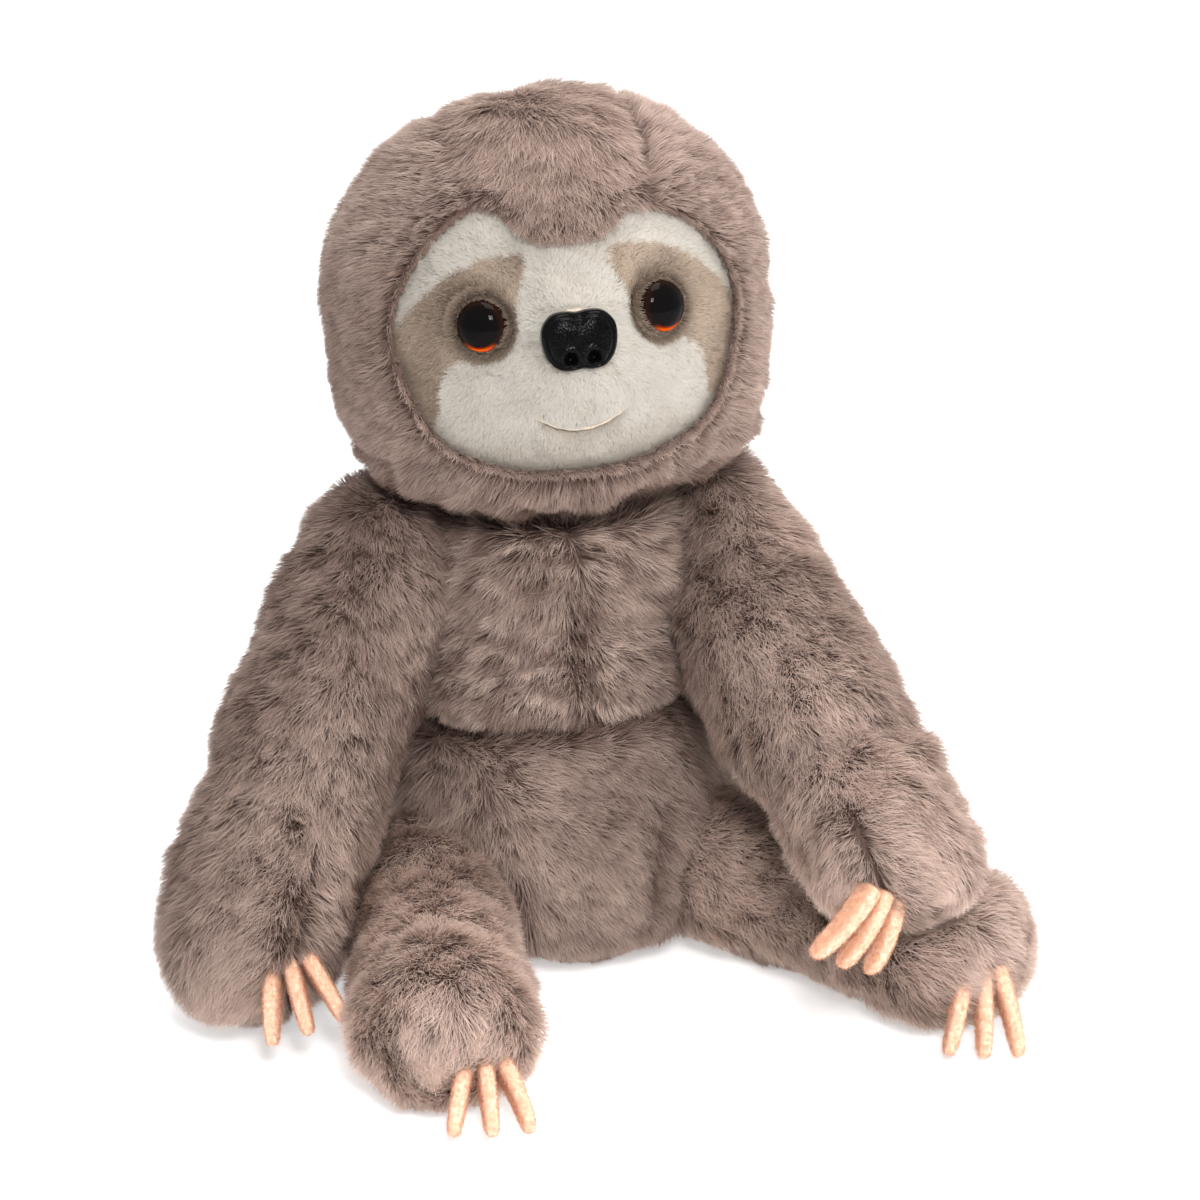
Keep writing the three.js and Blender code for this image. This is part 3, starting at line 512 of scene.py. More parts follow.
def limb_form(limb, grow, steps=60, caps=18, sides=84):
    theta = circle(sides)
    rings = []

    def add(centre, tangent, width, height):
        upright = unit(flat_to(UP, tangent))
        lateral = np.cross(upright, tangent)
        cos, sin = np.cos(theta)[:, None], np.sin(theta)[:, None]
        rings.append(centre + cos * upright * height + sin * lateral * width)

    tangents = limb_path(limb, [0, 1])[1]
    radius = limb["radius"] + grow
    for angle in np.linspace(-np.pi / 2, 0, caps + 1)[1:-1]:
        across = radius * math.cos(angle)
        add(limb["root"] + tangents[0] * radius * math.sin(angle), tangents[0], across, across)
    shares = np.linspace(0, 1, steps + 1)
    for centre, tangent, width, height in zip(*limb_path(limb, shares), *limb_size(limb, shares)):
        add(centre, tangent, width + grow, height + grow)
    wide, high, long = (v + grow for v in limb["tip"])
    for angle in np.linspace(0, np.pi / 2, caps + 1)[1:-1]:
        across = math.cos(angle)
        add(limb["end"] + tangents[1] * long * math.sin(angle), tangents[1], wide * across, high * across)
    return Form(rings, limb["root"] - tangents[0] * radius, limb["end"] + tangents[1] * long)


def limb_reach(limb, p):
    """How far outside a limb points lie (negative inside), and the nearest place along it, 0 to 1."""
    best = np.full(len(p), 1e9)
    at = np.zeros(len(p), int)
    for k, (centre, wide, high) in enumerate(zip(limb["path"], limb["width"], limb["height"])):
        d = np.linalg.norm(p - centre, axis=1) - (wide + high) / 2
        nearer = d < best
        best[nearer] = d[nearer]
        at[nearer] = k
    return best, at / PATH_STEPS


def in_limbs(p, skip=None):
    return np.min([limb_reach(limb, p)[0] for name, limb in LIMBS.items() if name != skip], axis=0)


def limb_front(limb, p, n):
    """Where points lie along a limb and off its seam, how far they face its claws, and its course there."""
    along = limb_reach(limb, p)[1]
    at = (along * PATH_STEPS).round().astype(int)
    facing = smooth(dot(n, unit(limb["claws_at"] - limb["path"][at])), 0.1, 0.6)
    return along, dot(p - limb["root"], limb["outwards"]), facing, limb["tangent"][at]


for limb in LIMBS.values():
    settle_limb(limb)


# Torso

def torso_form(grow, steps=110, sides=150):
    theta = circle(sides)
    rows = catmull([(w, d, h) for h, w, d, f in SECTIONS], np.linspace(0, 1, steps + 1))
    shifts = catmull([(f, 0, h) for h, w, d, f in SECTIONS], np.linspace(0, 1, steps + 1))
    low = SECTIONS[0][0]
    half = (TORSO_TOP - low) / 2
    stretch = (half + grow) / half
    rings = []
    for (wide, deep, height), (shift, _, _) in zip(rows, shifts):
        z = half + low + (height - half - low) * stretch
        x, y = oval(theta, wide + grow, deep + grow, TORSO_ROUND)
        rings.append(np.stack([x, -y - shift, np.full(sides, z)], 1))
    return Form(rings, rings[0].mean(0), rings[-1].mean(0))


# Shapes of the stuffed forms, with their folds and seams pressed in

def sweep_paths(limb):
    """The limb's middle line at rest and swung, so that its seat has room for both."""
    axis = UP
    if limb["fall"] is not None:
        angle = math.radians(limb["heading"])
        axis = np.array([-math.cos(angle), -limb["sign"] * math.sin(angle), 0])
    for degrees in np.linspace(0, limb["sweep"], 5):
        spin = turned(Vector(axis), degrees)
        yield degrees, (limb["path"] - limb["root"]) @ spin.T + limb["root"]


def press_seats(form):
    """Moves the cloth back out of the limbs and the neck, which leaves the hollows they sit in."""
    home = form.normals.copy()
    depth = np.zeros(len(form.verts))
    checks = []
    for limb in LIMBS.values():
        size = (limb["width"] + limb["height"]) / 2
        for degrees, path in sweep_paths(limb):
            checks += [(c, s - (0 if degrees == 0 else 0.8)) for c, s in zip(path, size)]
    checks.append((NECK_MIDDLE, NECK_RADIUS))
    for _ in range(50):  # in steps of 1 mm
        hit = np.zeros(len(form.verts), bool)
        for centre, radius in checks:
            hit |= ((form.verts - centre) ** 2).sum(1) < radius ** 2
        if not hit.any():
            break
        form.verts[hit] -= home[hit]
        depth[hit] += 1
    form.update()
    return depth


def chest_line(z):
    """Where the middle seam of the chest runs, across, at a height."""
    return 1.5 - 0.05 * (z - 80) + 0.7 * np.sin(z / 5.5) + 0.4 * np.sin(z / 2.3)


def crease_line(z):
    """Where the crease low on the belly runs."""
    return 17 + 0.18 * (z - 32) + 0.5 * np.sin(z / 4)


def back_line(x, y, z, width):
    """The middle seam of the back."""
    return smooth(y, 10, 25) * bump(x, width) * smooth(z, 14, 26) * (1 - smooth(z, 108, 120))


def crown_seams(x, y, z, width, right_share):
    """The gusset's seams, from the crown down the back, the right one weaker in front."""
    behind = smooth(y, 0, 18)
    right = (right_share + 0.7 * behind) * bump(x + GUSSET_SEAM, width[1])
    return smooth(z + 26 * behind, -10, width[2]) * (bump(x - GUSSET_SEAM, width[0]) + right)


def shape_torso():
    form = torso_form(-CLOTH_INSET)
    x, y, z = form.verts.T
    front = smooth(-y, 4, 26)
    fold = WAIST + 1.5 + 0.07 * x
    push = front * (-5.8 * bump(z - fold, 3.0) + 2.6 * bump(z - fold - 9, 6) + 1.2 * bump(z - fold + 11, 9))
    chest = smooth(z, 76, 84) * (1 - smooth(z, 110, 120))
    push -= 3.6 * front * bump(x - chest_line(z), 2.2) * chest
    push -= 3.4 * front * bump(x - crease_line(z), 2.4) * bump(z - 33, 13)
    push -= 3.0 * back_line(x, y, z, 2.2)
    push += 0.7 * noise(form.verts, 3, 30)
    push += 3.0 * smooth(z, 98, 118)
    form.push(push)
    depth = press_seats(form)
    form.keep_up()
    return form, depth


def shape_head():
    form = head_form(-CLOTH_INSET)
    x, y, z = unposed(form.verts).T
    push = -1.8 * crown_seams(x, y, z, (2.0, 2.0, 15), 0.3) - 1.5 * bump(z + RUFF_TOP, 2.0)
    push += 0.5 * noise(form.verts, 5, 34) + 0.9 * smooth(z, 20, 45) + 1.5 * smooth(z, 40, 52)
    push += 0.8 * (1 - smooth(np.abs(x), 14, 24)) * (1 - smooth(y, 0, 20)) * smooth(z, 28, 38)
    push -= 2.8 * smooth(-z, 40, 54)
    form.push(push)
    return form


def shape_limb(name, limb):
    form = limb_form(limb, -CLOTH_INSET)
    p = form.verts
    off = dot(p - limb["root"], limb["outwards"])
    along = limb_reach(limb, p)[1]
    push = -limb["part"][3] * bump(off, 1.8) * smooth(along, 0.6, 0.85)
    if limb["fall"] is not None:
        push += 2.2 * (1 - smooth(along, 0.08, 0.5)) - 1.0 * smooth(along, 0.45, 0.7)
        push -= limb["wrist"] * (0.6 * smooth(along, 0.3, 0.6) + 2.4 * bump(along - 0.76, 0.045))
    push += 0.5 * noise(p, 9 + len(name), 26)
    form.push(push)
    form.keep_up()
    return form


def face_form():
    """The face's cloth: a front over the muzzle, closed by a back that lies inside the head."""
    outer, inner = -2.4, -7.0  # from the face's surface
    shares = np.linspace(0, 1, 45)[1:]
    rings = [on_face(*(FACE_LINE * share * 1.015).T, outer) for share in shares]
    rings += [on_face(*(FACE_LINE * share).T, inner) for share in shares[::-6]]
    form = Form(posed(rings), posed(on_face(0.0, 0.0, outer)), posed(on_face(0.0, 0.0, inner)))
    x, y, z = unposed(form.verts).T
    front = -y - face_depth(x, z) > -4
    line, out = mouth_line(x, z)
    push = -1.9 * bump(line, 1.7) + 1.3 * bump(line + 5, 3.4) + 0.6 * bump(line - 5, 4)
    form.push(push * out * front)
    return form


def mouth_line(x, z):
    """How far above the mouth's line a point of the face is, and how much of the line is there."""
    share = x / MOUTH_HALF
    curve = MOUTH_HEIGHT - MOUTH_DIP * (1 - share ** 2)
    return z - curve, 1 - smooth(np.abs(share), 0.7, 1.0)


# Pile

def grow_pile(name, body, slot, material, roots, normals, comb, length, tone, rise=0.95, seed=1, *,
              width=0.22, spread=0.3, droop=0.18, knee=0.55, clump=0.95, clump_size=3.8, soft=0.8):
    """Tapering ribbons that lean along the comb, bend at the knee and gather in clumps.

    Each is a quad and a tip. Their OFBake map holds the tone across and the place along, and they
    are shaded mostly as the cloth they stand on. An object takes a limited number of them.
    """
    local = np.random.default_rng(seed)
    count = len(roots)
    normals = unit(normals)
    comb = unit(flat_to(comb, normals))
    angle = local.normal(0, spread, count)[:, None]
    comb = comb * np.cos(angle) + np.cross(normals, comb) * np.sin(angle)
    lift_angle = np.clip(rise + local.normal(0, 0.14, count), 0.2, 1.45)[:, None]
    lift = normals * np.sin(lift_angle) + comb * np.cos(lift_angle)
    side = unit(np.cross(normals, lift))
    roll = local.uniform(-0.9, 0.9, count)[:, None]
    across = side * np.cos(roll) + np.cross(lift, side) * np.sin(roll)
    gather = noise_slope(roots, seed + 50, clump_size) + 0.6 * noise_slope(roots, seed + 51, clump_size * 2)
    gather = flat_to(gather, normals)
    length = np.broadcast_to(length, count)[:, None]
    width = np.broadcast_to(width, count)[:, None] * local.uniform(0.75, 1.25, (count, 1))

    def along(s):
        return roots + length * (s * lift + s * s * droop * (comb - 0.8 * normals)) + s * s * clump * gather

    bend = along(knee)
    co = np.stack([roots + across * width / 2, roots - across * width / 2, bend + across * width * 0.4,
                   bend - across * width * 0.4, along(1.0)], 1).astype(np.float32)
    co[:, :, 2] = np.maximum(co[:, :, 2], PILE_GAP)
    facing = unit(soft * normals + 0.22 * (np.cross(lift, across)) + local.normal(0, 0.13, (count, 3)))
    tone = np.clip(tone + local.normal(0, 0.07, count), 0.01, 0.99)
    pattern = np.array([0, 1, 3, 2, 2, 3, 4])
    uv_side = np.array([0.004, -0.004, 0.004, -0.004, 0])
    uv_along = np.array([0, 0, knee, knee, 1.0])
    limit = 60_000
    for part, first in enumerate(range(0, count, limit)):
        block = slice(first, min(first + limit, count))
        size = block.stop - block.start
        mesh = bpy.data.meshes.new(f"{name}_{part + 1}")
        mesh.vertices.add(size * 5)
        mesh.vertices.foreach_set("co", (co[block] * MM).ravel())
        index = (np.arange(size)[:, None] * 5 + pattern).ravel()
        mesh.loops.add(len(index))
        mesh.loops.foreach_set("vertex_index", index)
        mesh.polygons.add(size * 2)
        mesh.polygons.foreach_set("loop_start", (np.arange(size)[:, None] * 7 + [0, 4]).ravel())
        mesh.polygons.foreach_set("use_smooth", np.ones(size * 2, bool))
        layer = mesh.uv_layers.new(name="OFBake")
        uv = np.stack([tone[block][:, None] + uv_side, np.broadcast_to(uv_along, (size, 5))], -1)
        layer.data.foreach_set("uv", uv[:, pattern].astype(np.float32).ravel())
        mesh.materials.append(material)
        mesh.update(calc_edges=True)
        mesh.normals_split_custom_set_from_vertices(np.repeat(facing[block], 5, 0).astype(np.float32))
        obj = bpy.data.objects.new(mesh.name, mesh)
        bpy.context.scene.collection.objects.link(obj)
        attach(obj, body)


def scatter(form, mask, density, seed):
    """Random places on the masked triangles, so many to a square millimetre.

    Gives their normals and triangles too.
    """
    local = np.random.default_rng(seed)
    density = density * 1.0
    weight = form.area * mask
    total = np.cumsum(weight)
    count = int(total[-1] * density)
    index = np.searchsorted(total, local.random(count) * total[-1])
    index = np.minimum(index, len(form.tris) - 1)
    a, b = local.random((2, count))
    flip = a + b > 1
    a[flip], b[flip] = 1 - a[flip], 1 - b[flip]
    corners = form.tris[index]
    share = np.stack([1 - a - b, a, b], 1)[..., None]
    return (form.verts[corners] * share).sum(1), unit((form.normals[corners] * share).sum(1)), index


def beyond_neck(p):
    return np.linalg.norm(p - NECK_MIDDLE, axis=1) > NECK_RADIUS + 1


def parting(off, strength, soft, width):
    """How far the comb turns away on both sides of a seam."""
    return strength * np.tanh(off / soft) * bump(off, width)


def torso_comb(p):
    x, y, z = p.T
    off, fold = x - chest_line(z), x - crease_line(z)
    across = 1.0 - smooth(x, 8, 24) - 0.7 * smooth(-x, 22, 40) + parting(fold, 1.6, 1.5, 6) * bump(z - 33, 15)
    belly = flow(across, 0, -0.55 - 0.6 * smooth(66 - z, 0, 26))
    chest = flow(0.6 * np.tanh(off / 8) + parting(off, 1.5, 1.2, 5), 0, -1)
    rear = flow(0.4 * np.tanh(x / 8) + parting(x, 1.2, 1.3, 5), 0, -1)
    v = blend(rear, blend(belly, chest, smooth(z, 70, 76)), smooth(-y, 0, 25))
    return v + 0.25 * noise_slope(p, 21, 22)


def head_comb(p):
    x, y, z = unposed(p).T
    on_side = np.where(x > 0, smooth(x, GUSSET_SEAM - 1.5, GUSSET_SEAM + 1.5), smooth(-x, 10, 40))
    v = blend(flow(x / 40, -0.55, -1), flow(np.tanh(x / 10), 0.75, -0.75), on_side)
    v = blend(v, flow(0.03 * x, -0.15, -1), smooth(-z, 24, 36))
    v = blend(v, -UP, smooth(y, 0, 25))
    return (v + 0.22 * noise_slope(p, 31, 24)) @ HEAD_TURN.T


def limb_comb(limb, p, n):
    along, off, facing, v = limb_front(limb, p, n)
    if limb["fall"] is not None:
        v = blend(-UP, v, smooth(dot(p - limb["root"], limb["tangent"][0]), 0, 45))
    part = bump(off, 13) * smooth(along, 0.62, 0.9) * facing
    v = v + (limb["part"][0] * part * np.sign(off))[:, None] * limb["outwards"]
    return v + 0.2 * noise_slope(p, 41, 22)


# Pieces of cloth and their pile

def plush(form, masks, body, cloth):
    """One piece of backing for each panel, which stands for that panel's solid."""
    made = {}
    for panel, mask in masks.items():
        obj = part_mesh(panel + "_cloth", form, mask, cloth, body)
        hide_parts(panel)
        made[panel] = obj
    return made


def panel_piles(form, masks, fields, body, slot_name, material, density, seed, **settings):
    """Each panel's pile; fields gives which strands to keep, and their comb, length, tone and rise."""
    for k, (panel, mask) in enumerate(masks.items()):
        roots, normals, index = scatter(form, mask, density, seed + k)
        keep, *looks = fields(roots, normals, index)
        strands = [field[keep] for field in (roots, normals, *looks)]
        grow_pile(panel + "_fur", body, slot_name, material, *strands, seed + 100 + k, **settings)


def make_torso():
    form, depth = shape_torso()
    x, y, z = form.middle.T
    front = y < SIDE_SEAM
    upper = z > SEAT_SEAM
    masks = {
        "seat_panel": ~upper,
        "belly_panel": front & upper & (z < WAIST),
        "chest_left_panel": front & (z >= WAIST) & (x >= 0),
        "chest_right_panel": front & (z >= WAIST) & (x < 0),
        "back_left_panel": ~front & upper & (x >= 0),
        "back_right_panel": ~front & upper & (x < 0),
    }
    made = plush(form, masks, "torso", FUR_CLOTH)
    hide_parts("torso_stuffing", "pellet_bag")
    sunk = depth[form.tris].mean(1)

    def fields(p, n, index):
        x, y, z = p.T
        deep = sunk[index]
        front = smooth(-y, 4, 26)
        chest = smooth(z, 70, 78)
        keep = (in_limbs(p) > -1.5) & (z > 1.0) & beyond_neck(p)
        length = 7.0 - 3.5 * smooth(deep, 0, 6) + 0.7 * noise(p, 61, 18)
        seam = front * bump(x - chest_line(z), 1.7) * chest * (1 - smooth(z, 108, 116))
        crease = front * bump(x - crease_line(z), 2.2) * bump(z - 33, 13)
        back_seam = back_line(x, y, z, 1.8)
        length -= 4.0 * smooth(-n[:, 2], 0.5, 0.9) + 3.4 * (seam + crease + back_seam)
        length = np.maximum(2.6, length) + 2.2 * front * smooth(z, 100, 112)
        mottle = noise(p * np.array([0.6, 1.0, 1.7]), 62, 7)
        tone = 0.48 - 0.07 * chest * front + (0.08 + 0.09 * chest * front) * mottle
        # Painted light: the top of the chest is lighter, where the chin's shadow falls.
        tone += 0.12 * noise(p, 63, 1.7) + 0.07 * noise(p, 64, 45) + 0.06 * smooth(z, 104, 116) * front
        # Painted shade: darker in the waist's fold, in the hollows pressed round the limbs and the neck, and
        # along the seams and the belly's crease.
        tone -= 0.5 * front * bump(z - WAIST - 0.07 * x, 3.5) + 0.3 * smooth(deep, 0, 5)
        tone -= 0.38 * seam + 0.5 * crease + 0.35 * back_seam
        rise = 1.0 + 0.17 * noise(p, 65, 8) + (0.1 + 0.14 * mottle) * chest * front
        return keep, torso_comb(p), length, tone, rise

    panel_piles(form, masks, fields, "torso", "brown_plush", FUR, DENSITY, 200)


def make_head():
    form = shape_head()
    x, y, z = unposed(form.middle).T
    opening = (y < 0) & inside(FACE_LINE * 0.985, x, z)
    neck = np.linalg.norm(form.middle - NECK_MIDDLE, axis=1) < NECK_RADIUS
    hood = ~opening & ~neck
    high = z > -RUFF_TOP
    masks = {
        "chin_ruff": hood & ~high,
        "head_gusset": hood & high & (np.abs(x) <= GUSSET),
        "head_side_left": hood & high & (x > GUSSET),
        "head_side_right": hood & high & (x < -GUSSET),
    }
    made = plush(form, masks, "head", FUR_CLOTH)
    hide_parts("head_stuffing")

    def fields(p, n, index):
        x, y, z = unposed(p).T
        front = y < 0
        edge = np.where(front, outline_distance(FACE_LINE, x, z), 60.0)
        keep = ~(front & inside(FACE_LINE, x, z)) & beyond_neck(p)
        ruff = smooth(-z, 28, 38)
        ahead = 1 - smooth(y, 4, 30)
        brow = front * bump(edge, 7) * smooth(z, 20, 28)
        length = 7.0 + 0.6 * ruff + (0.5 + 0.7 * ruff) * noise(p, 71, 11)
        length -= 1.5 * bump(edge, 5) * (1 - smooth(z, 15, 25))
        length -= (2.0 + 1.8 * smooth(np.abs(x), 10, 15)) * brow
        # Painted light: the crown and the front of the top are lighter, as the top light falls there.
        tone = 0.52 + 0.10 * smooth(z, 34, 50) * ahead + 0.06 * noise(p, 72, 6) + 0.10 * noise(p, 73, 1.7)
        # Painted shade: the chin ruff is darker, and so is the toy's right side below the crown, away from
        # the light.
        tone += 0.05 * noise(p, 74, 40) - 0.13 * ruff - 0.12 * smooth(-x, 24, 44) * (1 - smooth(z, 10, 30))
        # Painted shade: darker in the gusset's seams, on the brow and along the face's edge under the hood's
        # pile, and on the pile that faces down.
        tone -= 0.34 * crown_seams(x, y, z, (1.6, 1.8, 12), 0.2) + 0.1 * brow + 0.08 * bump(edge, 3)
        tone -= 0.25 * smooth(-n[:, 2], 0.55, 0.95)
        middle = 1 - smooth(x, GUSSET_SEAM - 1, GUSSET_SEAM + 1)
        middle *= 1 - smooth(-x, GUSSET_SEAM - 8, GUSSET_SEAM + 10)
        flat = ahead * middle * smooth(z, 20, 30) * (1 - brow)
        rise = 1.02 - (0.4 + 0.27 * smooth(z, 36, 46)) * flat + 0.14 * noise(p, 75, 8)
        return keep, head_comb(p), length, tone, rise

    panel_piles(form, masks, fields, "head", "brown_plush", FUR, DENSITY, 300)
    hood_lip()


def hood_lip():
    """Pile on the turned-in edge of the hood, all round the face."""
    local = np.random.default_rng(340)
    count = 16000
    place = local.random(count)
    line = catmull(FACE_LINE, place, True)
    ahead = catmull(FACE_LINE, (place + 0.002) % 1, True) - line
    across = unit(np.stack([-ahead[:, 1], ahead[:, 0]], 1))
    across *= -np.sign(dot(across, line))[:, None]
    depth = local.random(count)
    x, z = (line + across * (0.4 - 0.9 * depth[:, None])).T
    roots = on_face(x, z, -2.0 + 4.6 * depth)
    inward = flow(across[:, 0], -1, across[:, 1])
    brow = smooth(z, 18, 26)
    down = -0.5 * brow + 0.6 * (1 - brow) * z / FACE_HALF[1]
    comb = flow(0.6 * x / FACE_HALF[0], -0.4, down)
    length = 4.6 + 0.5 * local.normal(size=count) - 0.8 * brow
    # Painted shade: darker the deeper a strand stands in the turned-in edge.
    tone = 0.46 + 0.1 * noise(roots, 78, 3) - 0.2 * (1 - depth)
    grow_pile("hood_lip_fur", "head", "brown_plush", FUR, posed(roots), unit(inward) @ HEAD_TURN.T,
              comb @ HEAD_TURN.T, length, tone, seed=341, spread=0.4)


def make_neck():
    sides = 64
    theta = circle(sides)
    top = math.sqrt(NECK_RADIUS ** 2 - NECK_MOUTH ** 2)
    rings = []
    for h in np.linspace(-top + 1, top - 1, 26):
        r = math.sqrt((NECK_RADIUS - CLOTH_INSET) ** 2 - h ** 2)
        rings.append(NECK_MIDDLE + np.stack([r * np.cos(theta), r * np.sin(theta), np.full(sides, h)], 1))
    form = Form(rings, rings[0].mean(0), rings[-1].mean(0))
    whole = {"neck_cover": np.ones(len(form.tris), bool)}
    made = plush(form, whole, "neck", FUR_CLOTH)
    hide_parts("neck_stuffing")

    def fields(p, n, index):
        level = np.ones(len(p))
        keep = (np.abs(n[:, 2]) < 0.8) & (in_limbs(p) > -1)
        return keep, -UP * level[:, None], 6.0 * level, 0.4 + 0.1 * noise(p, 88, 5), 0.8 * level

    panel_piles(form, whole, fields, "neck", "brown_plush", FUR, 4.0, 380)


def make_limb(name, limb, seed):
    form = shape_limb(name, limb)
    off = dot(form.middle - limb["root"], limb["outwards"])
    masks = {name + "_outer_panel": off > 0, name + "_inner_panel": off <= 0}
    made = plush(form, masks, name, FUR_CLOTH)
    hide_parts(name + "_stuffing")
    base, end = limb["tone"]
    _, part_tone, part_rise, _ = limb["part"]

    def fields(p, n, index):
        along, off, facing, _ = limb_front(limb, p, n)
        in_torso = torso_depth(p)
        claws = np.linalg.norm(p - limb["claws_at"], axis=1)
        keep = (in_torso > -4.0) & (p[:, 2] > 1.0) & (in_limbs(p, name) > -2.0) & (head_depth(p) > -2.5)
        under = smooth(-n[:, 2], 0.5, 0.95)
        length = 7.1 + 0.8 * noise(p, seed + 1, 16) - 3.0 * under - 2.5 * bump(claws, 7)
        length += 1.2 * smooth(along, 0.5, 0.8) - 3.0 * smooth(-in_torso, 0, 4)
        part = bump(off, 1.6) * smooth(along, 0.78, 0.95) * facing
        # Painted light and shade: lighter towards the end as the limb's tone gives, and darker in the seam's
        # parting, in the fold behind the hand, where the limb goes into the torso, and underneath.
        tone = base + (end - base) * smooth(along, 0.35, 1) + 0.07 * noise(p, seed + 2, 6)
        tone += 0.09 * noise(p, seed + 3, 1.7) + 0.08 * noise(p, seed + 4, 34)
        tone -= part_tone * part + 0.2 * limb["wrist"] * bump(along - 0.76, 0.04)
        tone -= 0.2 * smooth(-in_torso, -1, 4) + 0.22 * under
        rise = limb["rise"] + 0.17 * noise(p, seed + 5, 9)
        rise += part_rise * bump(off, 6) * smooth(along, 0.75, 0.95) * facing
        return keep, limb_comb(limb, p, n), np.maximum(length, 3), tone, rise

    panel_piles(form, masks, fields, name, "brown_plush", FUR, DENSITY, seed)


def torso_depth(p):
    """How far outside the torso points lie, roughly, and negative inside it."""
    x, y, z = p.T
    heights, *columns = np.array(SECTIONS, float).T
    wide, deep, shift = (np.interp(z, heights, column) for column in columns)
    share = (np.abs(x / wide) ** TORSO_ROUND + np.abs((y + shift) / deep) ** TORSO_ROUND) ** (1 / TORSO_ROUND)
    return np.maximum((share - 1) * np.minimum(wide, deep), z - TORSO_TOP)


def head_depth(p):
    """How far outside the head points lie, roughly, and negative inside it."""
    x, y, z = (unposed(p) / HEAD_HALF).T
    r = np.where(z < 0, JAW, CROWN)
    flat = (np.abs(x) ** CHEEK + np.abs(y) ** CHEEK) ** (1 / CHEEK)
    return ((flat ** r + np.abs(z) ** r) ** (1 / r) - 1) * HEAD_HALF[2]


# Face

def make_face():
    form = face_form()
    x, y, z = unposed(form.middle).T
    left, right = inside(PATCH_LINES[1], x, z), inside(PATCH_LINES[-1], x, z)
    masks = {"face_panel": ~left & ~right}
    plush(form, masks, "head", CREAM_CLOTH)
    patches = {"eye_patch_left": left, "eye_patch_right": right}
    plush(form, patches, "head", TAUPE_CLOTH)

    def fields(p, n, index, patched):
        x, y, z = unposed(p).T
        from_eye = np.stack([x - EYE_SIDE * np.sign(x), z - EYE_HEIGHT], 1) * [1.12, 1]
        eye = np.linalg.norm(from_eye, axis=1)
        nose = np.abs(x / 10.6) ** 2.4 + np.abs((z - NOSE_HEIGHT) / 8.9) ** 2.4
        front = -y - face_depth(x, z) > -4.5
        shift = 0.25 * noise(p, 86, 2)
        in_patch = eye < 9.3
        for patch in PATCH_LINES.values():
            in_patch |= inside(patch, x + shift, z + shift)
        near = outline_distance(FACE_LINE, x, z)
        keep = front & (eye > 6.2) & (nose > 0.5) & (in_patch == patched)
        comb = unit(flow(x, 0, z - NOSE_HEIGHT)) - 0.25 * UP + 0.35 * noise_slope(p, 83, 16)
        comb[:, [0, 2]] += 3.0 * bump(eye - 6, 5)[:, None] * unit(from_eye)
        line, there = mouth_line(x, z)
        mouth = bump(line, 1.6) * there
        length = 2.7 + 0.2 * noise(p, 81, 9) + 1.2 * bump(near, 3) - 1.2 * mouth - 0.5 * bump(eye - 7, 2)
        # Painted shade: the cream pile is darker in the mouth's crease, towards the chin under the muzzle and
        # along the face's edge.
        cream = 0.52 + 0.05 * noise(p, 82, 12) - 0.5 * mouth - 0.6 * smooth(-z, 18, 36)
        cream -= 0.12 * bump(near, 2.5)
        # Painted light and shade: the patch on the toy's left, towards the light, is lighter, and the pile is
        # darker round the sunk eye.
        taupe = 0.60 + 0.08 * np.sign(x) + 0.12 * noise(p, 84, 14) - 0.45 * bump(eye - 6.5, 3.2)
        rise = 1.02 + 0.1 * noise(p, 85, 8) + 0.25 * bump(nose - 0.8, 0.3)
        sparkle = in_patch & (np.random.default_rng(87).random(len(x)) < 0.05)
        tone = np.where(sparkle, 0.97, np.where(in_patch, taupe, cream))
        return keep, comb @ HEAD_TURN.T, np.maximum(length, 1.2), tone, rise

    short = dict(width=0.17, spread=0.6, droop=0.2, knee=0.6, clump=0.25, clump_size=3.5, soft=1.1)
    whole = {"face_panel": np.ones(len(x), bool)}
    sides = {"eye_patch_left": x > 0, "eye_patch_right": x < 0}
    panel_piles(form, whole, lambda *a: fields(*a, False), "head", "cream_plush", CREAM, 19.0, 400, **short)
    panel_piles(form, sides, lambda *a: fields(*a, True), "head", "taupe_plush", TAUPE, 16.0, 420, **short)


# Eyes and nose

def frame_on(normal):
    """Axes of a fitting: across, upwards and outwards, in the head's frame."""
    out = unit(normal)
    across = unit(np.cross(-out, UP))
    return across, np.cross(out, across), out


def eye_material():
    """A black pupil in a dark iris, with painted light: an orange glow low in the iris, where light through
    the dome would fall.
    """
    n = Nodes("moulded_eye", Roughness=0.03, IOR=1.12)
    radius, turn, uv = n.carried()
    streaks = n.add("ShaderNodeTexNoise", {"Vector": uv, "Scale": 60.0}).outputs["Color"]
    pupil = [(0.0, (0.002, 0.002, 0.002, 1)), (0.76, (0.003, 0.002, 0.002, 1))]
    dark = n.ramp(radius, pupil + [(0.81, srgb(18, 9, 6)), (0.92, srgb(30, 13, 7)), (1.0, srgb(12, 6, 4))])
    # Painted light: the bright ramp is the iris as lit from inside the dome, used low down.
    bright = n.ramp(radius, pupil + [(0.83, srgb(120, 36, 7)), (0.91, srgb(226, 86, 16)),
                                     (0.97, srgb(150, 48, 8)), (1.0, srgb(30, 12, 6))])
    painted_glow = n.ramp(turn, [(0.0, WHITE), (0.12, (0.8, 0.8, 0.8, 1)), (0.26, BLACK), (1.0, BLACK)])
    n.link(n.mix(0.12, n.mix(painted_glow, dark, bright), streaks, "MULTIPLY"), "Base Color")
    return n.material


